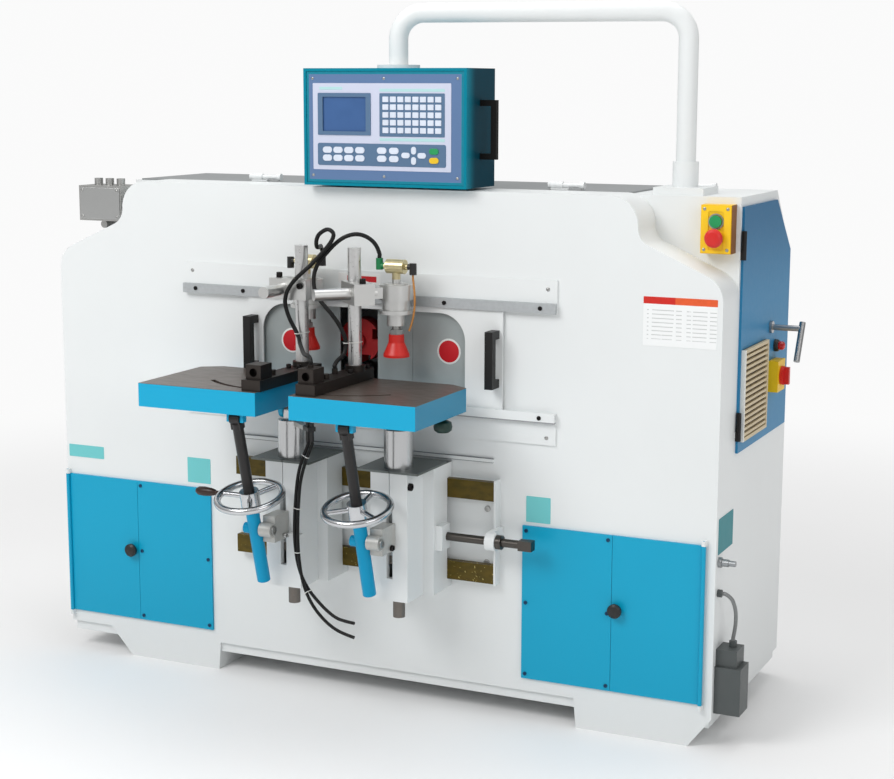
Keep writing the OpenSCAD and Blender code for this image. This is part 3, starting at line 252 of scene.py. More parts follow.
def wear(f, mask, colour, rough, metallic):
    """Lay a second finish over part of a node, where mask is 1."""
    links = {link.to_socket.name: Socket(f, link.from_socket)
             for link in f.tree.links if link.to_node == f.surface}
    base = links.get("Base Color")
    old_rough = links.get("Roughness")
    old_metal = links.get("Metallic", f.surface.inputs["Metallic"].default_value)
    grain = f.noise(130, 3)
    toned = f.mix(grain, shade(colour, 0.86), shade(colour, 1.08))
    f.put(Base_Color=f.mix(mask, base, toned), Roughness=old_rough * (1 - mask) + (grain * 0.1 + rough) * mask)
    if isinstance(old_metal, Socket):
        f.put(Metallic=old_metal * (1 - mask) + mask * metallic)
    elif abs(old_metal - metallic) > 1e-6:
        f.put(Metallic=mask * (metallic - old_metal) + old_metal)
    return f


def dress(finish, *nodes):
    """Give CAD nodes a finish."""
    for name in nodes:
        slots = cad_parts[name].data.materials
        slots.clear()
        slots.append(finish.material)


# ---- Finishes of the CAD nodes ----
white = painted("white_paint", WHITE)
dress(white, "base_frame", "front_casing", "rear_housing", "way_plate", "swing_arm")
# Black hinge ears of the cabinet door, standing out from the column's side
f = painted("column_paint", WHITE)
dress(wear(f, f.x.over(901) * f.y.under(134), BLACK, 0.4, 0.0), "electrical_column")

# Cover painted mid grey all over as painted shade for its dim top, with white grips above its sheet
f = painted("cover_painted_shade", srgb(138, 141, 142))
latch = f.z.over(1270.2) + f.block((690, None, 1266.2), (None, None, 1270.2))
dress(wear(f, latch, srgb(232, 234, 234), 0.3, 0.0), "top_cover")

# Upper rail's bright strip, and a grey line painted as the shade under the lower rail's strip
f = painted("rail_paint", WHITE)
strip = f.block((None, None, 993), (None, -5.5, 1019))
line = f.block((None, None, 735.5), (None, -5.5, 739))
wear(f, strip, srgb(186, 190, 192), 0.34, 0.55)
dress(wear(f, line, srgb(150, 152, 154), 0.4, 0.0), "guard_rails")

# Black bow handles in front of the guards
f = painted("guard_paint", WHITE)
dress(wear(f, f.y.under(-10), BLACK, 0.42, 0.0), "left_guard", "right_guard")

# Grey chip plates on top of the saddles
f = painted("saddle_paint", shade(WHITE, 0.98), 0.4)
dress(wear(f, f.z.over(621.6), srgb(112, 118, 116), 0.34, 0.6), "left_saddle", "right_saddle")

blue = painted("blue_paint", BLUE, 0.36, 0.07, 0.1).put(Specular_IOR_Level=0.3)
dress(blue, "fixed_panels", "left_door", "right_door")
tube_blue = painted("tube_blue", srgb(0, 146, 190), 0.34, 0.04, 0.05).put(Specular_IOR_Level=0.2)
dress(tube_blue, "left_strut_tube", "right_strut_tube")

# Tables: blue sides, with painted shade darkening their right-hand sides, and a ground iron top
TABLE_TOP = 819.2
f = painted("table_paint", srgb(6, 164, 206), 0.34, 0.05, 0.1)
inside = f.block((-408, -360, 790), (-92, -64, None)) + f.block((0, -360, 790), (316, -64, None))
ground = (f.z.over(TABLE_TOP) + inside).clip()
swirl = f.noise(26, 5, (1, 6, 1))
iron = f.mix(swirl, srgb(112, 102, 95), srgb(84, 75, 70))
base = Socket(f, f.surface.inputs["Base Color"].links[0].from_socket)
# Painted shade: the right-hand side face of each table is painted a darker blue
right_side_shade = f.x.over(317.6) + f.block((-90.4, None, None), (-88, None, None))
base = f.mix(right_side_shade, base, srgb(0, 124, 160))
f.put(Base_Color=f.mix(ground, base, iron), Metallic=ground * 0.55,
      Roughness=(1 - ground) * 0.3 + ground * (swirl * 0.16 + 0.3))
dress(f, "left_table", "right_table")

dress(moulded("shield_grey", srgb(160, 168, 168), 0.4, 0.05), "inner_shields")
# Oiled ways: mottled brown, pale specks on the lower one
f = moulded("oiled_ways", srgb(92, 76, 20), 0.3, 0.0).put(Specular_IOR_Level=0.2)
patch = f.noise(34, 5, (1, 2, 2)).ease(0.3, 0.75)
wear(f, patch, srgb(74, 62, 16), 0.3, 0.0)
wear(f, f.noise(150, 2).over(0.68) * f.z.under(400), srgb(176, 160, 96), 0.3, 0.0)
dress(f, "slide_ways")

dress(metal("steel", STEEL, 0.22), "cross_rails", "cabinet_lever")
dress(metal("chrome", srgb(205, 206, 208), 0.12, (1, 1, 30), 0.02, 0.12), "left_handwheel", "right_handwheel")
dress(metal("screw_steel", srgb(92, 88, 84), 0.3, (40, 1, 1), 0.05, 0.4), "lead_screw")
dress(metal("galvanised", srgb(165, 168, 170), 0.34, (1, 1, 1), 0.04, 0.4), "dust_outlet", "air_inlet")
dress(painted("gear_grey", srgb(150, 152, 152), 0.5), "control_gear", "tool_boxes", "cross_carriage",
      "cutter_head")
dress(moulded("pump_black", srgb(74, 79, 79), 0.4), "oil_pump")
dress(moulded("black_plastic", BLACK, 0.36), "left_door_knob", "right_door_knob")
dress(painted("rod_black", srgb(32, 30, 30), 0.3, 0.03, 0.3), "left_strut_rod", "right_strut_rod")

# Right side: cabinet door with a painted darker reflection towards its top, vent with painted shade in its dark
# slots, button box with painted shade on its brown side
f = painted("cabinet_blue", srgb(40, 126, 172), 0.4, 0.05, 0.0)
# Painted reflection: the door is painted darker towards its top
wear(f, f.z.ease(980, 1244) * 0.6, srgb(22, 84, 126), 0.4, 0.0)
dress(wear(f, f.x.over(900.5) * f.y.under(132.9), BLACK, 0.4, 0.0), "cabinet_door")
f = moulded("vent_beige", srgb(206, 190, 156), 0.45)
# Painted shade: dark brown on the recess floor between the slats
wear(f, f.x.under(908.6), srgb(84, 68, 46), 0.5, 0.0)
dress(wear(f, f.y.under(149.5), srgb(232, 232, 226), 0.4, 0.0), "cabinet_vent")
dress(moulded("yellow_plastic", srgb(240, 196, 4), 0.38), "isolator_box")
f = moulded("button_yellow", srgb(240, 192, 4), 0.38)
# Painted shade: the yellow box's right side is painted brown
dress(wear(f, f.x.over(889.4), srgb(128, 78, 22), 0.5, 0.0), "button_box")
dress(moulded("red_plastic", srgb(206, 30, 24), 0.3), "isolator_knob", "stop_button")
dress(moulded("green_plastic", srgb(20, 148, 84), 0.3), "start_button")
dress(metal("box_metal", srgb(190, 190, 188), 0.34, (1, 1, 1), 0.03, 0.35), "junction_box")

# Control box: shaded right side with a black grip, slate face with a teal border
f = painted("box_teal", TEAL, 0.4, 0.05, 0.0).put(Specular_IOR_Level=0.12)
wear(f, f.x.over(286) * f.y.ease(-44, 20), srgb(0, 58, 74), 0.5, 0.0)
wear(f, f.x.over(290.4), BLACK, 0.4, 0.0)
dress(f, "control_box")
f = painted("face_slate", srgb(92, 120, 160), 0.4, 0.02, 0.0)
dress(wear(f, 1 - f.block((-126, None, 1290), (276, None, 1539)), TEAL, 0.4, 0.0), "control_face")

# Lifting columns: bright above, duller low down, cast bracket, black hose block on the left one
COLUMN_Y, COLUMN_R = -140, 36
f = metal("column_chrome", srgb(196, 197, 198), 0.14, (1, 1, 40), 0.01, 0.2)
post = f.ring(-121, COLUMN_Y, COLUMN_R) + f.ring(166, COLUMN_Y, COLUMN_R)
wear(f, post * f.z.under(420), srgb(120, 114, 108), 0.4, 0.8)
wear(f, 1 - post, srgb(186, 186, 182), 0.42, 0.3)
bracket = f.block((-56, -232, 676), (-12, -186, 742))
dress(wear(f, bracket, BLACK, 0.4, 0.0), "left_column", "right_column")

# Dark fences with bright hold-down posts
FENCE_TOP = 846
POST_R = 16
LEFT_POST, RIGHT_POST = (-102, -120), (41, -120)
f = metal("fence_steel", srgb(70, 65, 62), 0.36, (1, 1, 0.05), 0.0, 0.35)
bright = (f.ring(*LEFT_POST, POST_R + 0.6) + f.ring(*RIGHT_POST, POST_R + 0.6)) * f.z.over(FENCE_TOP + 0.5)
dress(wear(f, bright, srgb(212, 212, 211), 0.24, 0.9), "left_fence", "right_fence")


def hold_down_finish(name, left_x, right_x, left_colour, right_colour):
    """Aluminium clamp and cylinder, brass tee above it, and an elbow of its own colour at each end."""
    tee_z, elbow_z = 1064, 1066
    f = metal(name, srgb(214, 214, 212), 0.28, (1, 1, 30), 0.03, 0.2)
    wear(f, f.z.over(tee_z), srgb(202, 190, 150), 0.26, 0.9)
    wear(f, f.block((left_x - 12, None, elbow_z), (left_x + 13, None, None)), left_colour, 0.35, 0.0)
    wear(f, f.block((right_x - 13, None, elbow_z), (right_x + 12, None, None)), right_colour, 0.35, 0.0)
    return f


dress(hold_down_finish("left_clamp", -164, -76, BLACK, BLACK), "left_hold_down")
dress(hold_down_finish("right_clamp", 86.8, 174.8, srgb(16, 122, 70), BLACK), "right_hold_down")

# Pressers: red rubber cup under a steel stem
f = moulded("cup_red", srgb(206, 28, 16), 0.34, 0.04)
stem = f.z.over(933.4)
dress(wear(f, stem, srgb(150, 150, 148), 0.24, 0.95), "left_presser", "right_presser")

dress(painted("cutter_red", srgb(176, 38, 40), 0.36), "cutter")


# ---- Shapes of the added pieces: closed grids of rings, in machine millimetres ----
# Across, up and out of a plate that faces each way
FACING = {"front": ((1, 0, 0), (0, 0, 1), (0, -1, 0)), "right": ((0, 1, 0), (0, 0, 1), (1, 0, 0))}
CORNERS = 32
SHARP_DEGREES = 38


def refine(points, times=3):
    """Smooth curve through points: each pass adds (9 (b + c) - a - d) / 16 between b and c.

    a and d are the neighbours of b and c; an end point is its own neighbour.
    """
    p = np.asarray(points, float)
    for _ in range(times):
        q = np.vstack([p[:1], p, p[-1:]])
        finer = np.empty((2 * len(p) - 1, 3))
        finer[0::2] = p
        finer[1::2] = (9 * (q[1:-2] + q[2:-1]) - q[:-3] - q[3:]) / 16
        p = finer
    return p


def tube(path, radius, sides=16):
    """Round tube: a circle carried along the path, square to it, without twist, and closed at each end."""
    p = np.asarray(path, float)
    ahead = np.gradient(p, axis=0)
    ahead /= np.linalg.norm(ahead, axis=1)[:, None]
    start = np.cross(ahead[0], (0.0, 0.2, 1.0) if abs(ahead[0][2]) < 0.8 else (1.0, 0.2, 0.0))
    side = [start / np.linalg.norm(start)]
    for t in ahead[1:]:
        s = side[-1] - t * (side[-1] @ t)
        side.append(s / np.linalg.norm(s))
    side = np.array(side)
    other = np.cross(ahead, side)
    turn = np.linspace(0, 2 * np.pi, sides, endpoint=False)
    cos, sin = np.cos(turn)[None, :, None], np.sin(turn)[None, :, None]
    rings = p[:, None] + radius * (cos * side[:, None] + sin * other[:, None])
    ends = [np.repeat(p[i][None, None], sides, axis=1) for i in (0, -1)]
    return np.concatenate([ends[0], rings, ends[1]])


def turned(profile, place, axis=(0, 0, 1), sides=28):
    """Surface of revolution: the profile's (radius, height) pairs turned about an axis through place."""
    axis = np.asarray(axis, float) / np.linalg.norm(axis)
    a = np.cross((0.0, 1.0, 0.0) if abs(axis[1]) < 0.9 else (0.0, 0.0, 1.0), axis)
    a /= np.linalg.norm(a)
    b = np.cross(axis, a)
    r, h = np.array(profile, float).T
    turn = np.linspace(0, 2 * np.pi, sides, endpoint=False)
    round_it = np.cos(turn)[:, None] * a + np.sin(turn)[:, None] * b
    return np.asarray(place, float) + r[:, None, None] * round_it[None] + h[:, None, None] * axis


def plate(place, size, thick, facing="front", corner=2.0, edge=0.5):
    """Plate about its middle: a rounded rectangle at its back, its side, a small edge round, then the middle."""
    a, b, h = np.array(FACING[facing], float)
    turn = np.linspace(0, 2 * np.pi, CORNERS, endpoint=False) + np.pi / CORNERS
    lay = []
    for inset, up in ((None, 0), (0, 0), (0, thick - edge), (edge * 0.3, thick - edge * 0.3), (edge, thick),
                      (edge + 0.3, thick), (None, thick)):
        if inset is None:
            flat = np.zeros((CORNERS, 2))
        else:
            r = max(corner - inset, 0.05)
            half = np.array(size, float) / 2 - inset - r
            round_off = np.stack([np.cos(turn), np.sin(turn)], axis=1)
            flat = np.sign(round_off) * half + r * round_off
        lay.append(flat[:, :1] * a + flat[:, 1:] * b + up * h)
    return np.asarray(place, float) + np.array(lay)


def cap_screw(place, axis, radius, height):
    """Socket-head screw: a turned head with a chamfer and a round recess."""
    return turned([(0, 0), (radius, 0), (radius, height * 0.86), (radius * 0.9, height), (radius * 0.52, height),
                   (radius * 0.48, height * 0.45), (0, height * 0.4)], place, axis, 20)


def dome(place, axis, radius, height):
    """Round-headed screw: a quarter ellipse turned about its axis."""
    rise = np.linspace(0, np.pi / 2, 6)
    return turned([(0, 0)] + [(radius * math.cos(t), height * math.sin(t)) for t in rise], place, axis, 18)


def band(place, axis, radius, width, thick):
    """Flat ring: a small rectangle turned about an axis."""
    w = width / 2
    outer = radius + thick
    return turned([(radius, -w), (outer, -w), (outer, w), (radius, w), (radius, -w)], place, axis, 20)


def piece(name, grids, finish, body=None):
    """Mesh of closed grids: each row is a ring joined round; equal points are welded, so ends close."""
    points, faces, count = [], [], 0
    for grid in grids:
        rows, sides = grid.shape[:2]
        number = np.arange(rows * sides).reshape(rows, sides) + count
        step = np.roll(number, -1, axis=1)
        faces.append(np.stack([number[:-1], step[:-1], step[1:], number[1:]], axis=-1).reshape(-1, 4))
        points.append(grid.reshape(-1, 3))
        count += rows * sides
    points = at(np.concatenate(points))
    key = np.round(points * 1e6).astype(np.int64)
    _, first, back = np.unique(key, axis=0, return_index=True, return_inverse=True)
    faces = back.reshape(-1)[np.concatenate(faces)]
    kept = [tuple(dict.fromkeys(map(int, face))) for face in faces]
    mesh = bpy.data.meshes.new(name)
    mesh.from_pydata(points[first].tolist(), [], [face for face in kept if len(face) > 2])
    mesh.polygons.foreach_set("use_smooth", np.ones(len(mesh.polygons), bool))
    mesh.set_sharp_from_angle(angle=math.radians(SHARP_DEGREES))
    mesh.materials.append(finish.material)
    made = bpy.data.objects.new(name, mesh)
    bpy.context.scene.collection.objects.link(made)
    if body:
        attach(made, body)
    return made


# ---- Hoses: their routes are the CAD routes ----
rubber = moulded("hose_rubber", srgb(20, 20, 20), 0.4, 0.03).put(Specular_IOR_Level=0.25)
braid = metal("hose_braid", srgb(150, 152, 152), 0.36, (1, 1, 1), 0.0, 0.2)
weave = braid.node("ShaderNodeTexWave", {"wave_type": "BANDS", "bands_direction": "DIAGONAL"},
                   {"Vector": braid.place, "Scale": 420.0, "Distortion": 1.5, "Detail": 1.0}, 1)
braid.bump(weave, 0.5, 0.0006)
clear_tan = moulded("tan_tube", srgb(176, 120, 58), 0.2, 0.0)
OIL = [(910, 24, 369), (914, 24, 369), (918, 24, 369), (932, 29, 357), (938, 40, 330), (937, 50, 300),
       (933, 57, 274), (930, 58, 258), (930, 58, 254), (930, 58, 250)]
LEFT = [(-76, -64, 1112), (-76, -64, 1116), (-76, -64, 1120), (-70, -82, 1134), (-62, -104, 1134),
        (-57, -124, 1136), (-55, -130, 1150), (-46, -132, 1167), (-24, -132, 1179), (-8, -132, 1170),
        (-12, -135, 1152), (-28, -141, 1130), (-47, -148, 1108), (-62, -153, 1092), (-82, -158, 1074),
        (-102, -161, 1054), (-118, -162, 1030), (-125, -160, 1006), (-122, -158, 985), (-115, -155, 963),
        (-104, -151, 940), (-92, -154, 921), (-76, -176, 909), (-50, -212, 902), (-20, -256, 900),
        (6, -288, 903), (20, -302, 902), (28, -310, 894), (28, -310, 890), (28, -310, 886)]
# Point of the left route at the post's tie, where its two pieces meet
LEFT_TIE = 21
RIGHT = [(86.83, -80.24, 1112), (86.83, -80.24, 1117), (86.83, -80.24, 1122), (80, -86, 1143),
         (64, -94, 1160), (40, -103, 1168), (14, -112, 1162), (-8, -121, 1146), (-27, -130, 1124),
         (-43, -138, 1102), (-52, -144, 1080), (-52, -150, 1056), (-46, -154, 1034), (-30, -156, 1011),
         (-8, -156, 989), (14, -154, 962), (28, -150, 934), (32, -148, 910), (29, -154, 889),
         (22, -172, 876), (20, -182, 866), (20, -182, 862), (20, -182, 858)]
LOWER = [(-40, -207, 684), (-40, -207, 680), (-40, -207, 676), (-52, -210, 645), (-61, -213, 615),
         (-68, -213, 580), (-73, -212, 540), (-76, -212, 500), (-77, -212, 465), (-76, -212, 430),
         (-70, -213, 390), (-58, -215, 356), (-36, -219, 324), (-4, -224, 296), (26, -228, 276),
         (54, -231, 265), (95, -235, 262)]
SECOND = [(-28, -210, 684), (-28, -210, 680), (-28, -210, 676), (-40, -213, 645), (-49, -216, 615),
          (-57, -217, 580), (-62, -216, 540), (-65, -216, 500), (-66, -216, 465), (-65, -217, 430),
          (-60, -220, 390), (-50, -226, 352), (-32, -232, 314), (-6, -236, 280), (28, -238, 252),
          (60, -237, 236), (95, -235, 227)]
TAN = [(174.83, -80.24, 1076), (174.83, -80.24, 1066), (178, -82, 1048), (181, -84, 1020), (180, -85, 990),
       (174, -86, 962), (167, -86, 944)]


def hose(name, route, diameter, finish, nodes=()):
    """A hose: a tube along the smoothed route, with the CAD nodes it stands in for hidden."""
    path = refine(route)
    made = piece(name, [tube(path, diameter / 2)], finish)
    if nodes:
        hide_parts(*nodes)
    return made


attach(hose("oil_line", OIL, 9, braid, ["oil_hose"]), "frame")
upper = hose("left_air_upper", LEFT[:LEFT_TIE + 1], 10, rubber, ["left_air_hose"])
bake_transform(upper)
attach(hose("left_air_lower", LEFT[LEFT_TIE:], 10, rubber), "left_fence")
right_hose = hose("right_air_line", RIGHT, 10, rubber, ["right_air_hose"])
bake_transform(right_hose)
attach(hose("supply_line_1", LOWER, 8, rubber, ["supply_hoses"]), "left_lift")
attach(hose("supply_line_2", SECOND, 8, rubber), "left_lift")
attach(hose("exhaust_line", TAN, 5, clear_tan), "right_arm")


def frame_plate(low, high, hole_low, hole_high, depth, thick, corner=2.0):
    """Flat frame facing the front: a rounded outline at its back and front, then the hole's back again."""
    turn = np.linspace(0, 2 * np.pi, CORNERS, endpoint=False) + np.pi / CORNERS
    round_off = np.stack([np.cos(turn), np.sin(turn)], axis=1)
    rows = []
    rim, hole = (low, high), (hole_low, hole_high)
    for (a, b), up in ((rim, 0), (rim, thick), (hole, thick), (hole, 0), (rim, 0)):
        a, b = np.array(a, float), np.array(b, float)
        flat = (a + b) / 2 + np.sign(round_off) * ((b - a) / 2 - corner) + corner * round_off
        rows.append(np.stack([flat[:, 0], np.full(CORNERS, depth - up), flat[:, 1]], axis=1))
    return np.array(rows)


def tie(name, circles, axis, body, thick=1.1):
    """Cable tie: a thin tube along the outline round all the circles, in the plane square to axis."""
    axis = np.asarray(axis, float) / np.linalg.norm(axis)
    a = np.cross((0.0, 1.0, 0.0) if abs(axis[1]) < 0.9 else (0.0, 0.0, 1.0), axis)
    a /= np.linalg.norm(a)
    b = np.cross(axis, a)
    turn = np.linspace(0, 2 * np.pi, 49)
    out = np.cos(turn)[:, None] * a + np.sin(turn)[:, None] * b
    middle = np.array([c for c, _ in circles], float)
    radius = np.array([r for _, r in circles], float) + thick
    middle -= ((middle - middle[0]) @ axis)[:, None] * axis
    best = (out @ middle.T + radius).argmax(axis=1)
    return piece(name, [tube(middle[best] + radius[best][:, None] * out, thick, 8)], tie_white, body)


def nearest(route, z):
    """Point and direction of a smoothed route where it passes height z."""
    path = refine(route)
    i = int(np.abs(path[:, 2] - z).argmin())
    return path[i], path[min(i + 1, len(path) - 1)] - path[max(i - 1, 0)]


tie_white = moulded("tie_white", srgb(226, 226, 222), 0.4, 0.0)
screw_black = metal("screw_black", srgb(46, 44, 44), 0.34, (1, 1, 1), 0.03, 0.3)
screw_blue = painted("screw_blue", srgb(10, 60, 96), 0.4)
screw_grey = metal("screw_grey", srgb(176, 176, 174), 0.28, (1, 1, 1), 0.03, 0.3)
teal_plate = painted("teal_plate", srgb(112, 198, 200), 0.4, 0.02, 0.1)

# Directions that a screw or turned piece points to
TO_FRONT, TO_RIGHT, TO_TOP = (0, -1, 0), (1, 0, 0), (0, 0, 1)
# Front faces that pieces lie on
PANEL_Y, RAIL_STRIP_Y, RAIL_PLATE_Y, SHIELD_Y = -6, -16, -5, 4


def crossings(across, heights):
    """Every pair of one value from each list."""
    return [(x, z) for x in across for z in heights]


# Screws and bare plates on the casing
piece("panel_screws", [cap_screw((x, PANEL_Y, z), TO_FRONT, 4.6, 2.6)
                       for x, z in crossings((-662, -456, 437, 643), (118, 295, 472))], screw_blue, "frame")
piece("rail_screws", [cap_screw((x, RAIL_STRIP_Y, z), TO_FRONT, 5.2, 2.2)
                      for x, z in crossings((-470, -330, 225, 470), (1006, 748))], screw_black, "frame")
piece("rail_plate_screws", [dome((x, RAIL_PLATE_Y, z), TO_FRONT, 5, 1.8)
                            for x, z in crossings((-485, 485), (1050, 700))], screw_grey, "frame")
piece("teal_plates", [plate((x, 0, z), size, 1.0) for x, z, size in
                      ((-482, 529, (70, 66)), (465, 524, (62, 63)), (-836, 547.5, (112, 33)))],
      teal_plate, "frame")
piece("side_plate", [plate((900, 74, 502), (116, 84), 1.0, "right")],
      painted("side_teal", srgb(22, 128, 136), 0.4, 0.02, 0.0), "frame")

# White strip over the ways, with grey painted shade along its top and bottom edges
f = painted("strip_white", WHITE, 0.4, 0.02, 0.0)
wear(f, f.z.over(636.2) + f.z.under(628.6), srgb(132, 136, 138), 0.4, 0.0)
piece("drip_strip", [plate((0, 0, 632.5), (700, 11), 5.0, "front", 1.5)], f, "frame")

# White plate on the column with a coloured head and plain grey bars
PLATE_HEAD_Z, BAR_PITCH, BAR_H = 1030, 9.4, 2.0
f = painted("notice_white", srgb(238, 240, 240), 0.4, 0.02, 0.1)
row = f.node("ShaderNodeMath", {"operation": "MODULO"}, {0: f.z, 1: BAR_PITCH})
bars = row.under(BAR_H) * f.block((724, None, 950), (None, None, 1024)) * f.noise(55, 2, (1, 1, 0.02)).over(0.42)
wear(f, bars * 0.4, srgb(70, 70, 70), 0.4, 0.0)
wear(f, f.z.over(PLATE_HEAD_Z), srgb(226, 92, 46), 0.4, 0.0)
wear(f, f.z.over(PLATE_HEAD_Z) * f.x.under(790), srgb(206, 40, 30), 0.4, 0.0)
piece("notice_plate", [plate((801.5, 0, 990), (173, 112), 0.8)], f, "frame")

# White plate on the upper rail with a red bar
f = painted("bar_plate", srgb(232, 232, 230), 0.4, 0.02, 0.1)
wear(f, f.block((-40, None, 1044), (40, None, 1058)), srgb(196, 34, 40), 0.4, 0.0)
piece("rail_plate", [plate((-7, RAIL_PLATE_Y, 1051), (115, 26), 0.8)], f, "frame")

DISC_Z, DISC_RIM = 887, 26.5


def disc_finish(name, x):
    """Red disc with a white rim, from the square of the distance to its middle."""
    f = painted(name, srgb(196, 30, 40), 0.38, 0.02, 0.1)
    dx = f.x - x
    dz = f.z - DISC_Z
    return wear(f, (dx * dx + dz * dz).over(DISC_RIM * DISC_RIM), srgb(232, 232, 230), 0.4, 0.0)


for name, x in (("left_disc", -201), ("right_disc", 229)):
    profile = [(0, 0), (31, 0), (31, 0.6), (30.6, 0.8), (0, 0.8)]
    piece(name, [turned(profile, (x, SHIELD_Y, DISC_Z), TO_FRONT, 40)], disc_finish(name, x), "frame")

# Left switch box: lid and its screws
lid_metal = metal("lid_metal", srgb(196, 197, 196), 0.3, (30, 1, 1), 0.03, 0.3)
piece("box_lid", [plate((-789, 30, 1207.5), (124, 82), 3.0, "front", 4, 1.2)], lid_metal, "frame")
piece("box_lid_screws", [dome((x, 27, z), TO_FRONT, 4, 2) for x, z in crossings((-843, -735), (1174, 1241))],
      screw_grey, "frame")

# Button box: lid edge, corner screws and a ring round the green button
lid_yellow = moulded("lid_yellow", srgb(248, 200, 16), 0.34)
piece("button_lid", [frame_plate((819.5, 1141.5), (888.5, 1248.5), (836, 1148), (872, 1236), 84, 2.2, 5)],
      lid_yellow, "frame")
piece("button_screws", [dome((x, 81.8, z), TO_FRONT, 4, 1.6) for x, z in crossings((827, 881), (1149, 1241))],
      screw_grey, "frame")
piece("button_ring", [band((854, 82.5, 1213), TO_FRONT, 15, 3, 3)], screw_grey, "frame")

# Pilot lamp on the cabinet door
LAMP_Y, LAMP_Z = 440, 888
piece("lamp_bezel", [turned([(0, 0), (15, 0), (15, 8), (13, 11), (0, 11)], (906, LAMP_Y, LAMP_Z), TO_RIGHT)],
      moulded("lamp_black", BLACK), "cabinet_door")
piece("lamp_lens", [turned([(0, 0), (10.5, 0), (10.5, 9), (9, 13), (5, 15), (0, 15.6)],
                           (916, LAMP_Y, LAMP_Z), TO_RIGHT)],
      moulded("lamp_red", srgb(196, 22, 26), 0.18, 0.0), "cabinet_door")

# Control box face: panel, screen in its recess, key pad and push keys, each layer in front of the last
FACE_Y, PANEL_FACE_Y, KEY_Y = -32, -32.8, -33.6
panel_pale = painted("panel_pale", srgb(200, 205, 224), 0.4, 0.02, 0.1)
panel_slate = painted("panel_slate", srgb(86, 114, 144), 0.4, 0.02, 0.1)
key_white = moulded("key_white", srgb(214, 222, 236), 0.45, 0.0)
piece("face_panel", [frame_plate((-115, 1314), (250, 1518), (-90, 1403), (30, 1488), FACE_Y, 0.8)],
      panel_pale, "control_box")
piece("screen_frame", [frame_plate((-101, 1396), (41, 1495), (-88, 1405), (28, 1486), PANEL_FACE_Y, 1.8)],
      panel_slate, "control_box")
f = moulded("screen_glass", srgb(62, 98, 150), 0.16, 0.0)
f.put(Coat_Weight=0.4, Coat_Roughness=0.05)
piece("screen", [plate((-30, -30, 1445.5), (118, 83), 0.8, "front", 1.5)], f, "control_box")
piece("key_pad", [plate((149, PANEL_FACE_Y, 1444.5), (170, 101), 0.8)], panel_slate, "control_box")
piece("keys", [plate((80.5 + 19.6 * i, KEY_Y, 1408.7 + 18 * j), (15.5, 13), 1.6, "front", 1.5, 0.6)
               for i in range(8) for j in range(5)], key_white, "control_box")
piece("key_strip", [plate((67.4, PANEL_FACE_Y, 1350.6), (340, 53), 0.8, "front", 5)], panel_slate, "control_box")
wide_keys = crossings((-75.6, -46.9, -17.8, 11.9, 70.2, 102.2), (1361, 1342))
arrow_keys = ((154, 1362.5, (13, 18)), (133, 1351, (22, 13)), (175, 1351, (22, 13)), (154, 1338.5, (13, 18)))
piece("oval_keys", [plate((x, KEY_Y, z), (25, 15), 1.8, "front", 7.4, 0.7) for x, z in wide_keys]
      + [plate((x, KEY_Y, z), size, 1.8, "front", 6.4, 0.7) for x, z, size in arrow_keys], key_white, "control_box")
for name, z, finish in (("green_key", 1361, moulded("key_green", srgb(24, 150, 84), 0.36, 0.0)),
                        ("yellow_key", 1340, moulded("key_yellow", srgb(232, 190, 28), 0.36, 0.0))):
    piece(name, [plate((206.6, KEY_Y, z), (24, 14), 2.2, "front", 6.9, 0.8)], finish, "control_box")
piece("face_bars", [plate((x, PANEL_FACE_Y, z), (wide, 7), 0.5)
                    for x, z, wide in ((149, 1502, 170), (149, 1387, 170), (-66, 1506, 62))],
      painted("bar_pale", srgb(176, 214, 216), 0.4, 0.02, 0.1), "control_box")
piece("face_screws", [dome((x, FACE_Y, z), TO_FRONT, 3.6, 1.4) for x, z in crossings((-116, 75, 266), (1300, 1529))],
      screw_grey, "control_box")

# Screws of the hold-downs, fences and saddle
piece("left_clamp_screws", [cap_screw((-163, -120, 1059), TO_TOP, 7.5, 12),
                            cap_screw((-92, -145, 1043), TO_FRONT, 7.5, 7)], screw_black, "left_arm")
piece("right_clamp_screws", [cap_screw((84.9, -162.4, 1059), TO_TOP, 7.5, 12)], screw_black, "right_arm")
piece("left_fence_screws", [cap_screw((x, y, FENCE_TOP), TO_TOP, 6, 9) for x, y in ((-122, -152), (-94, -152))],
      screw_black, "left_fence")
piece("right_fence_screws", [cap_screw((x, y, FENCE_TOP), TO_TOP, 6, 9)
                             for x, y in ((49, -158), (22, -96), (50, -72))], screw_black, "right_fence")
piece("right_saddle_screw", [cap_screw((213, -180, 592), TO_RIGHT, 9, 8)], screw_black, "right_saddle")
piece("way_screws", [cap_screw((x, -10, z), TO_FRONT, 7.5, 2.5) for x, z in ((338.5, 516), (337, 384))],
      screw_grey, "frame")
piece("left_bracket_screws", [cap_screw((-105, -265, 472), TO_RIGHT, 11, 5),
                              cap_screw((-105, -216, 450), TO_RIGHT, 6, 9)], screw_grey, "left_lift")
piece("right_bracket_ring", [cap_screw((182, -265, 472), TO_RIGHT, 11, 5)], screw_grey, "right_lift")
piece("right_bracket_screw", [cap_screw((182, -213, 450), TO_RIGHT, 7, 7)], screw_black, "right_lift")

# Knob under the right table, on a stem that reaches up to it
piece("table_knob", [turned([(0, 0), (15, 0), (21, 5), (22.5, 14), (20, 24), (9, 30), (7, 34), (7, 88), (0, 88)],
                            (262, -100, 712))], moulded("knob_green", srgb(12, 52, 42), 0.3, 0.03), "right_table")

# Grip of the left handwheel, folded out from its rim
piece("wheel_grip", [turned([(0, 0), (5, 0), (5, 10), (7, 12), (10, 24), (11.5, 42), (10.5, 56), (6, 64), (0, 66)],
                            (-238, -287.3, 555.1), (-1, 0, 0))],
      painted("grip_brown", srgb(52, 36, 30), 0.32, 0.02, 0.3), "left_wheel")

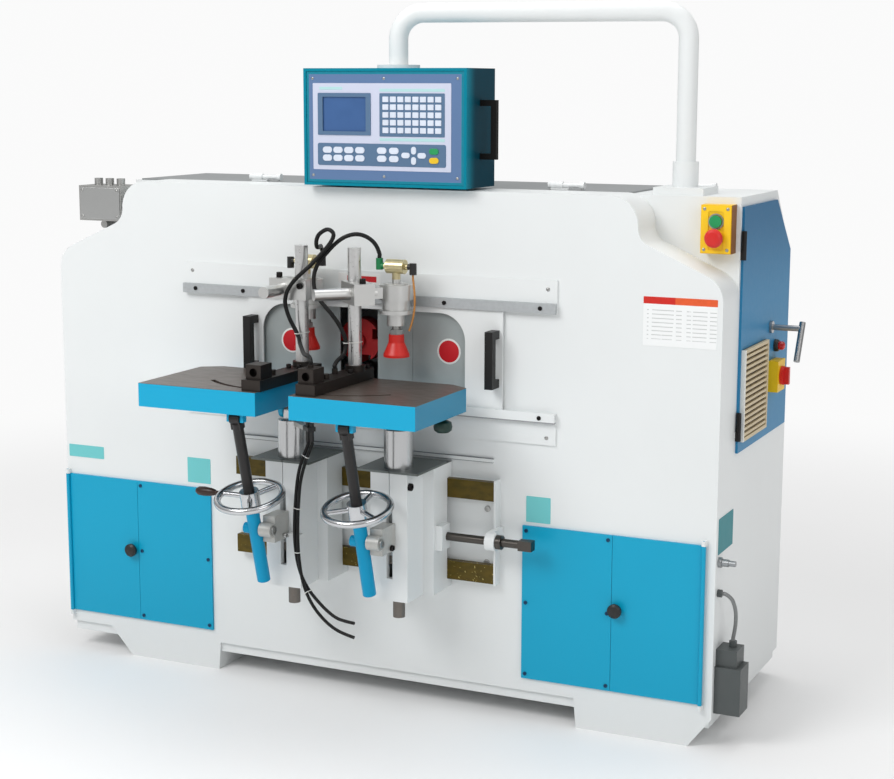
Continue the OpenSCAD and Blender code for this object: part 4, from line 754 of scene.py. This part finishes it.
# Cable ties
AIR_R, SUPPLY_R = 5, 4
tie("left_post_tie", [((*LEFT_POST, 930), POST_R), (nearest(LEFT[15:22], 930)[0], AIR_R)], TO_TOP, "left_fence")
tie("right_post_tie", [((*RIGHT_POST, 915), POST_R), (nearest(RIGHT[11:19], 915)[0], AIR_R)], TO_TOP, "right_fence")
second_path = refine(SECOND)
for number, z in enumerate((650, 520, 410, 320), 1):
    one, ahead = nearest(LOWER, z)
    two = second_path[np.linalg.norm(second_path - one, axis=1).argmin()]
    tie(f"supply_tie_{number}", [(one, SUPPLY_R), (two, SUPPLY_R)], ahead, "left_lift")


# ---- Stage: pale floor, soft light ----
bpy.context.scene.view_settings.view_transform = "Standard"
FLOOR_HALF = 14
BACKDROP = (0.96, 0.96, 0.96)
floor = bpy.data.objects.new("floor", bpy.data.meshes.new("floor"))
floor.data.from_pydata([(x * FLOOR_HALF, y * FLOOR_HALF, 0) for x, y in ((-1, -1), (1, -1), (1, 1), (-1, 1))],
                       [], [(0, 1, 2, 3)])
bpy.context.scene.collection.objects.link(floor)
f = Finish("floor")
f.put(Base_Color=f.mix(f.noise(1.5, 3), (0.86, 0.86, 0.86), (0.89, 0.89, 0.89)), Roughness=0.6)
# Far from the machine the floor fades into the backdrop
away = f.node("ShaderNodeVectorMath", {"operation": "LENGTH"}, {0: f.place}, 1)
glow = f.node("ShaderNodeEmission", {}, {"Color": BACKDROP, "Strength": 1.0})
fade = f.node("ShaderNodeMixShader", {}, {0: away.ease(1.3, 4.2), 1: Socket(f, f.surface.outputs[0]), 2: glow})
f.join(f.tree.nodes["Material Output"].inputs["Surface"], fade)
floor.data.materials.append(f.material)

# World: brighter overhead than at the horizon, and the plain backdrop where the camera sees it
world = bpy.data.worlds.new("studio")
bpy.context.scene.world = world
world.use_nodes = True
tree = world.node_tree
seen = tree.nodes.new("ShaderNodeLightPath")
pick = tree.nodes.new("ShaderNodeMix")
pick.data_type = "RGBA"
aim = tree.nodes.new("ShaderNodeTexCoord")
split = tree.nodes.new("ShaderNodeSeparateXYZ")
sky = tree.nodes.new("ShaderNodeMapRange")
sky.inputs["From Min"].default_value = -0.1
sky.inputs["From Max"].default_value = 0.7
sky.inputs["To Min"].default_value = 0.20
sky.inputs["To Max"].default_value = 0.70
tree.links.new(aim.outputs["Generated"], split.inputs[0])
tree.links.new(split.outputs[2], sky.inputs["Value"])
tree.links.new(sky.outputs[0], pick.inputs[6])
pick.inputs[7].default_value = (*BACKDROP, 1)
tree.links.new(seen.outputs["Is Camera Ray"], pick.inputs[0])
tree.links.new(pick.outputs[2], tree.nodes["Background"].inputs["Color"])


def area_light(name, place, target, size, power):
    """Soft rectangular light at place, turned to face target; metres and watts."""
    lamp = bpy.data.lights.new(name, "AREA")
    lamp.shape = "RECTANGLE"
    lamp.size, lamp.size_y = size
    lamp.energy = power
    made = bpy.data.objects.new(name, lamp)
    bpy.context.scene.collection.objects.link(made)
    made.location = place
    towards = np.asarray(target, float) - np.asarray(place, float)
    tip = math.acos(-towards[2] / np.linalg.norm(towards))
    made.rotation_mode = "XYZ"
    made.rotation_euler = (tip, 0, math.atan2(towards[1], towards[0]) - math.pi / 2)


area_light("key", (-1.3, -3.4, 3.7), (0.1, -0.1, 0.7), (2.4, 2.0), 102)
area_light("fill", (3.4, -2.2, 2.4), (0.3, 0, 0.8), (2.0, 2.0), 20)
area_light("top", (0.2, 0.6, 4.2), (0, 0.1, 0.6), (3.0, 2.4), 54)
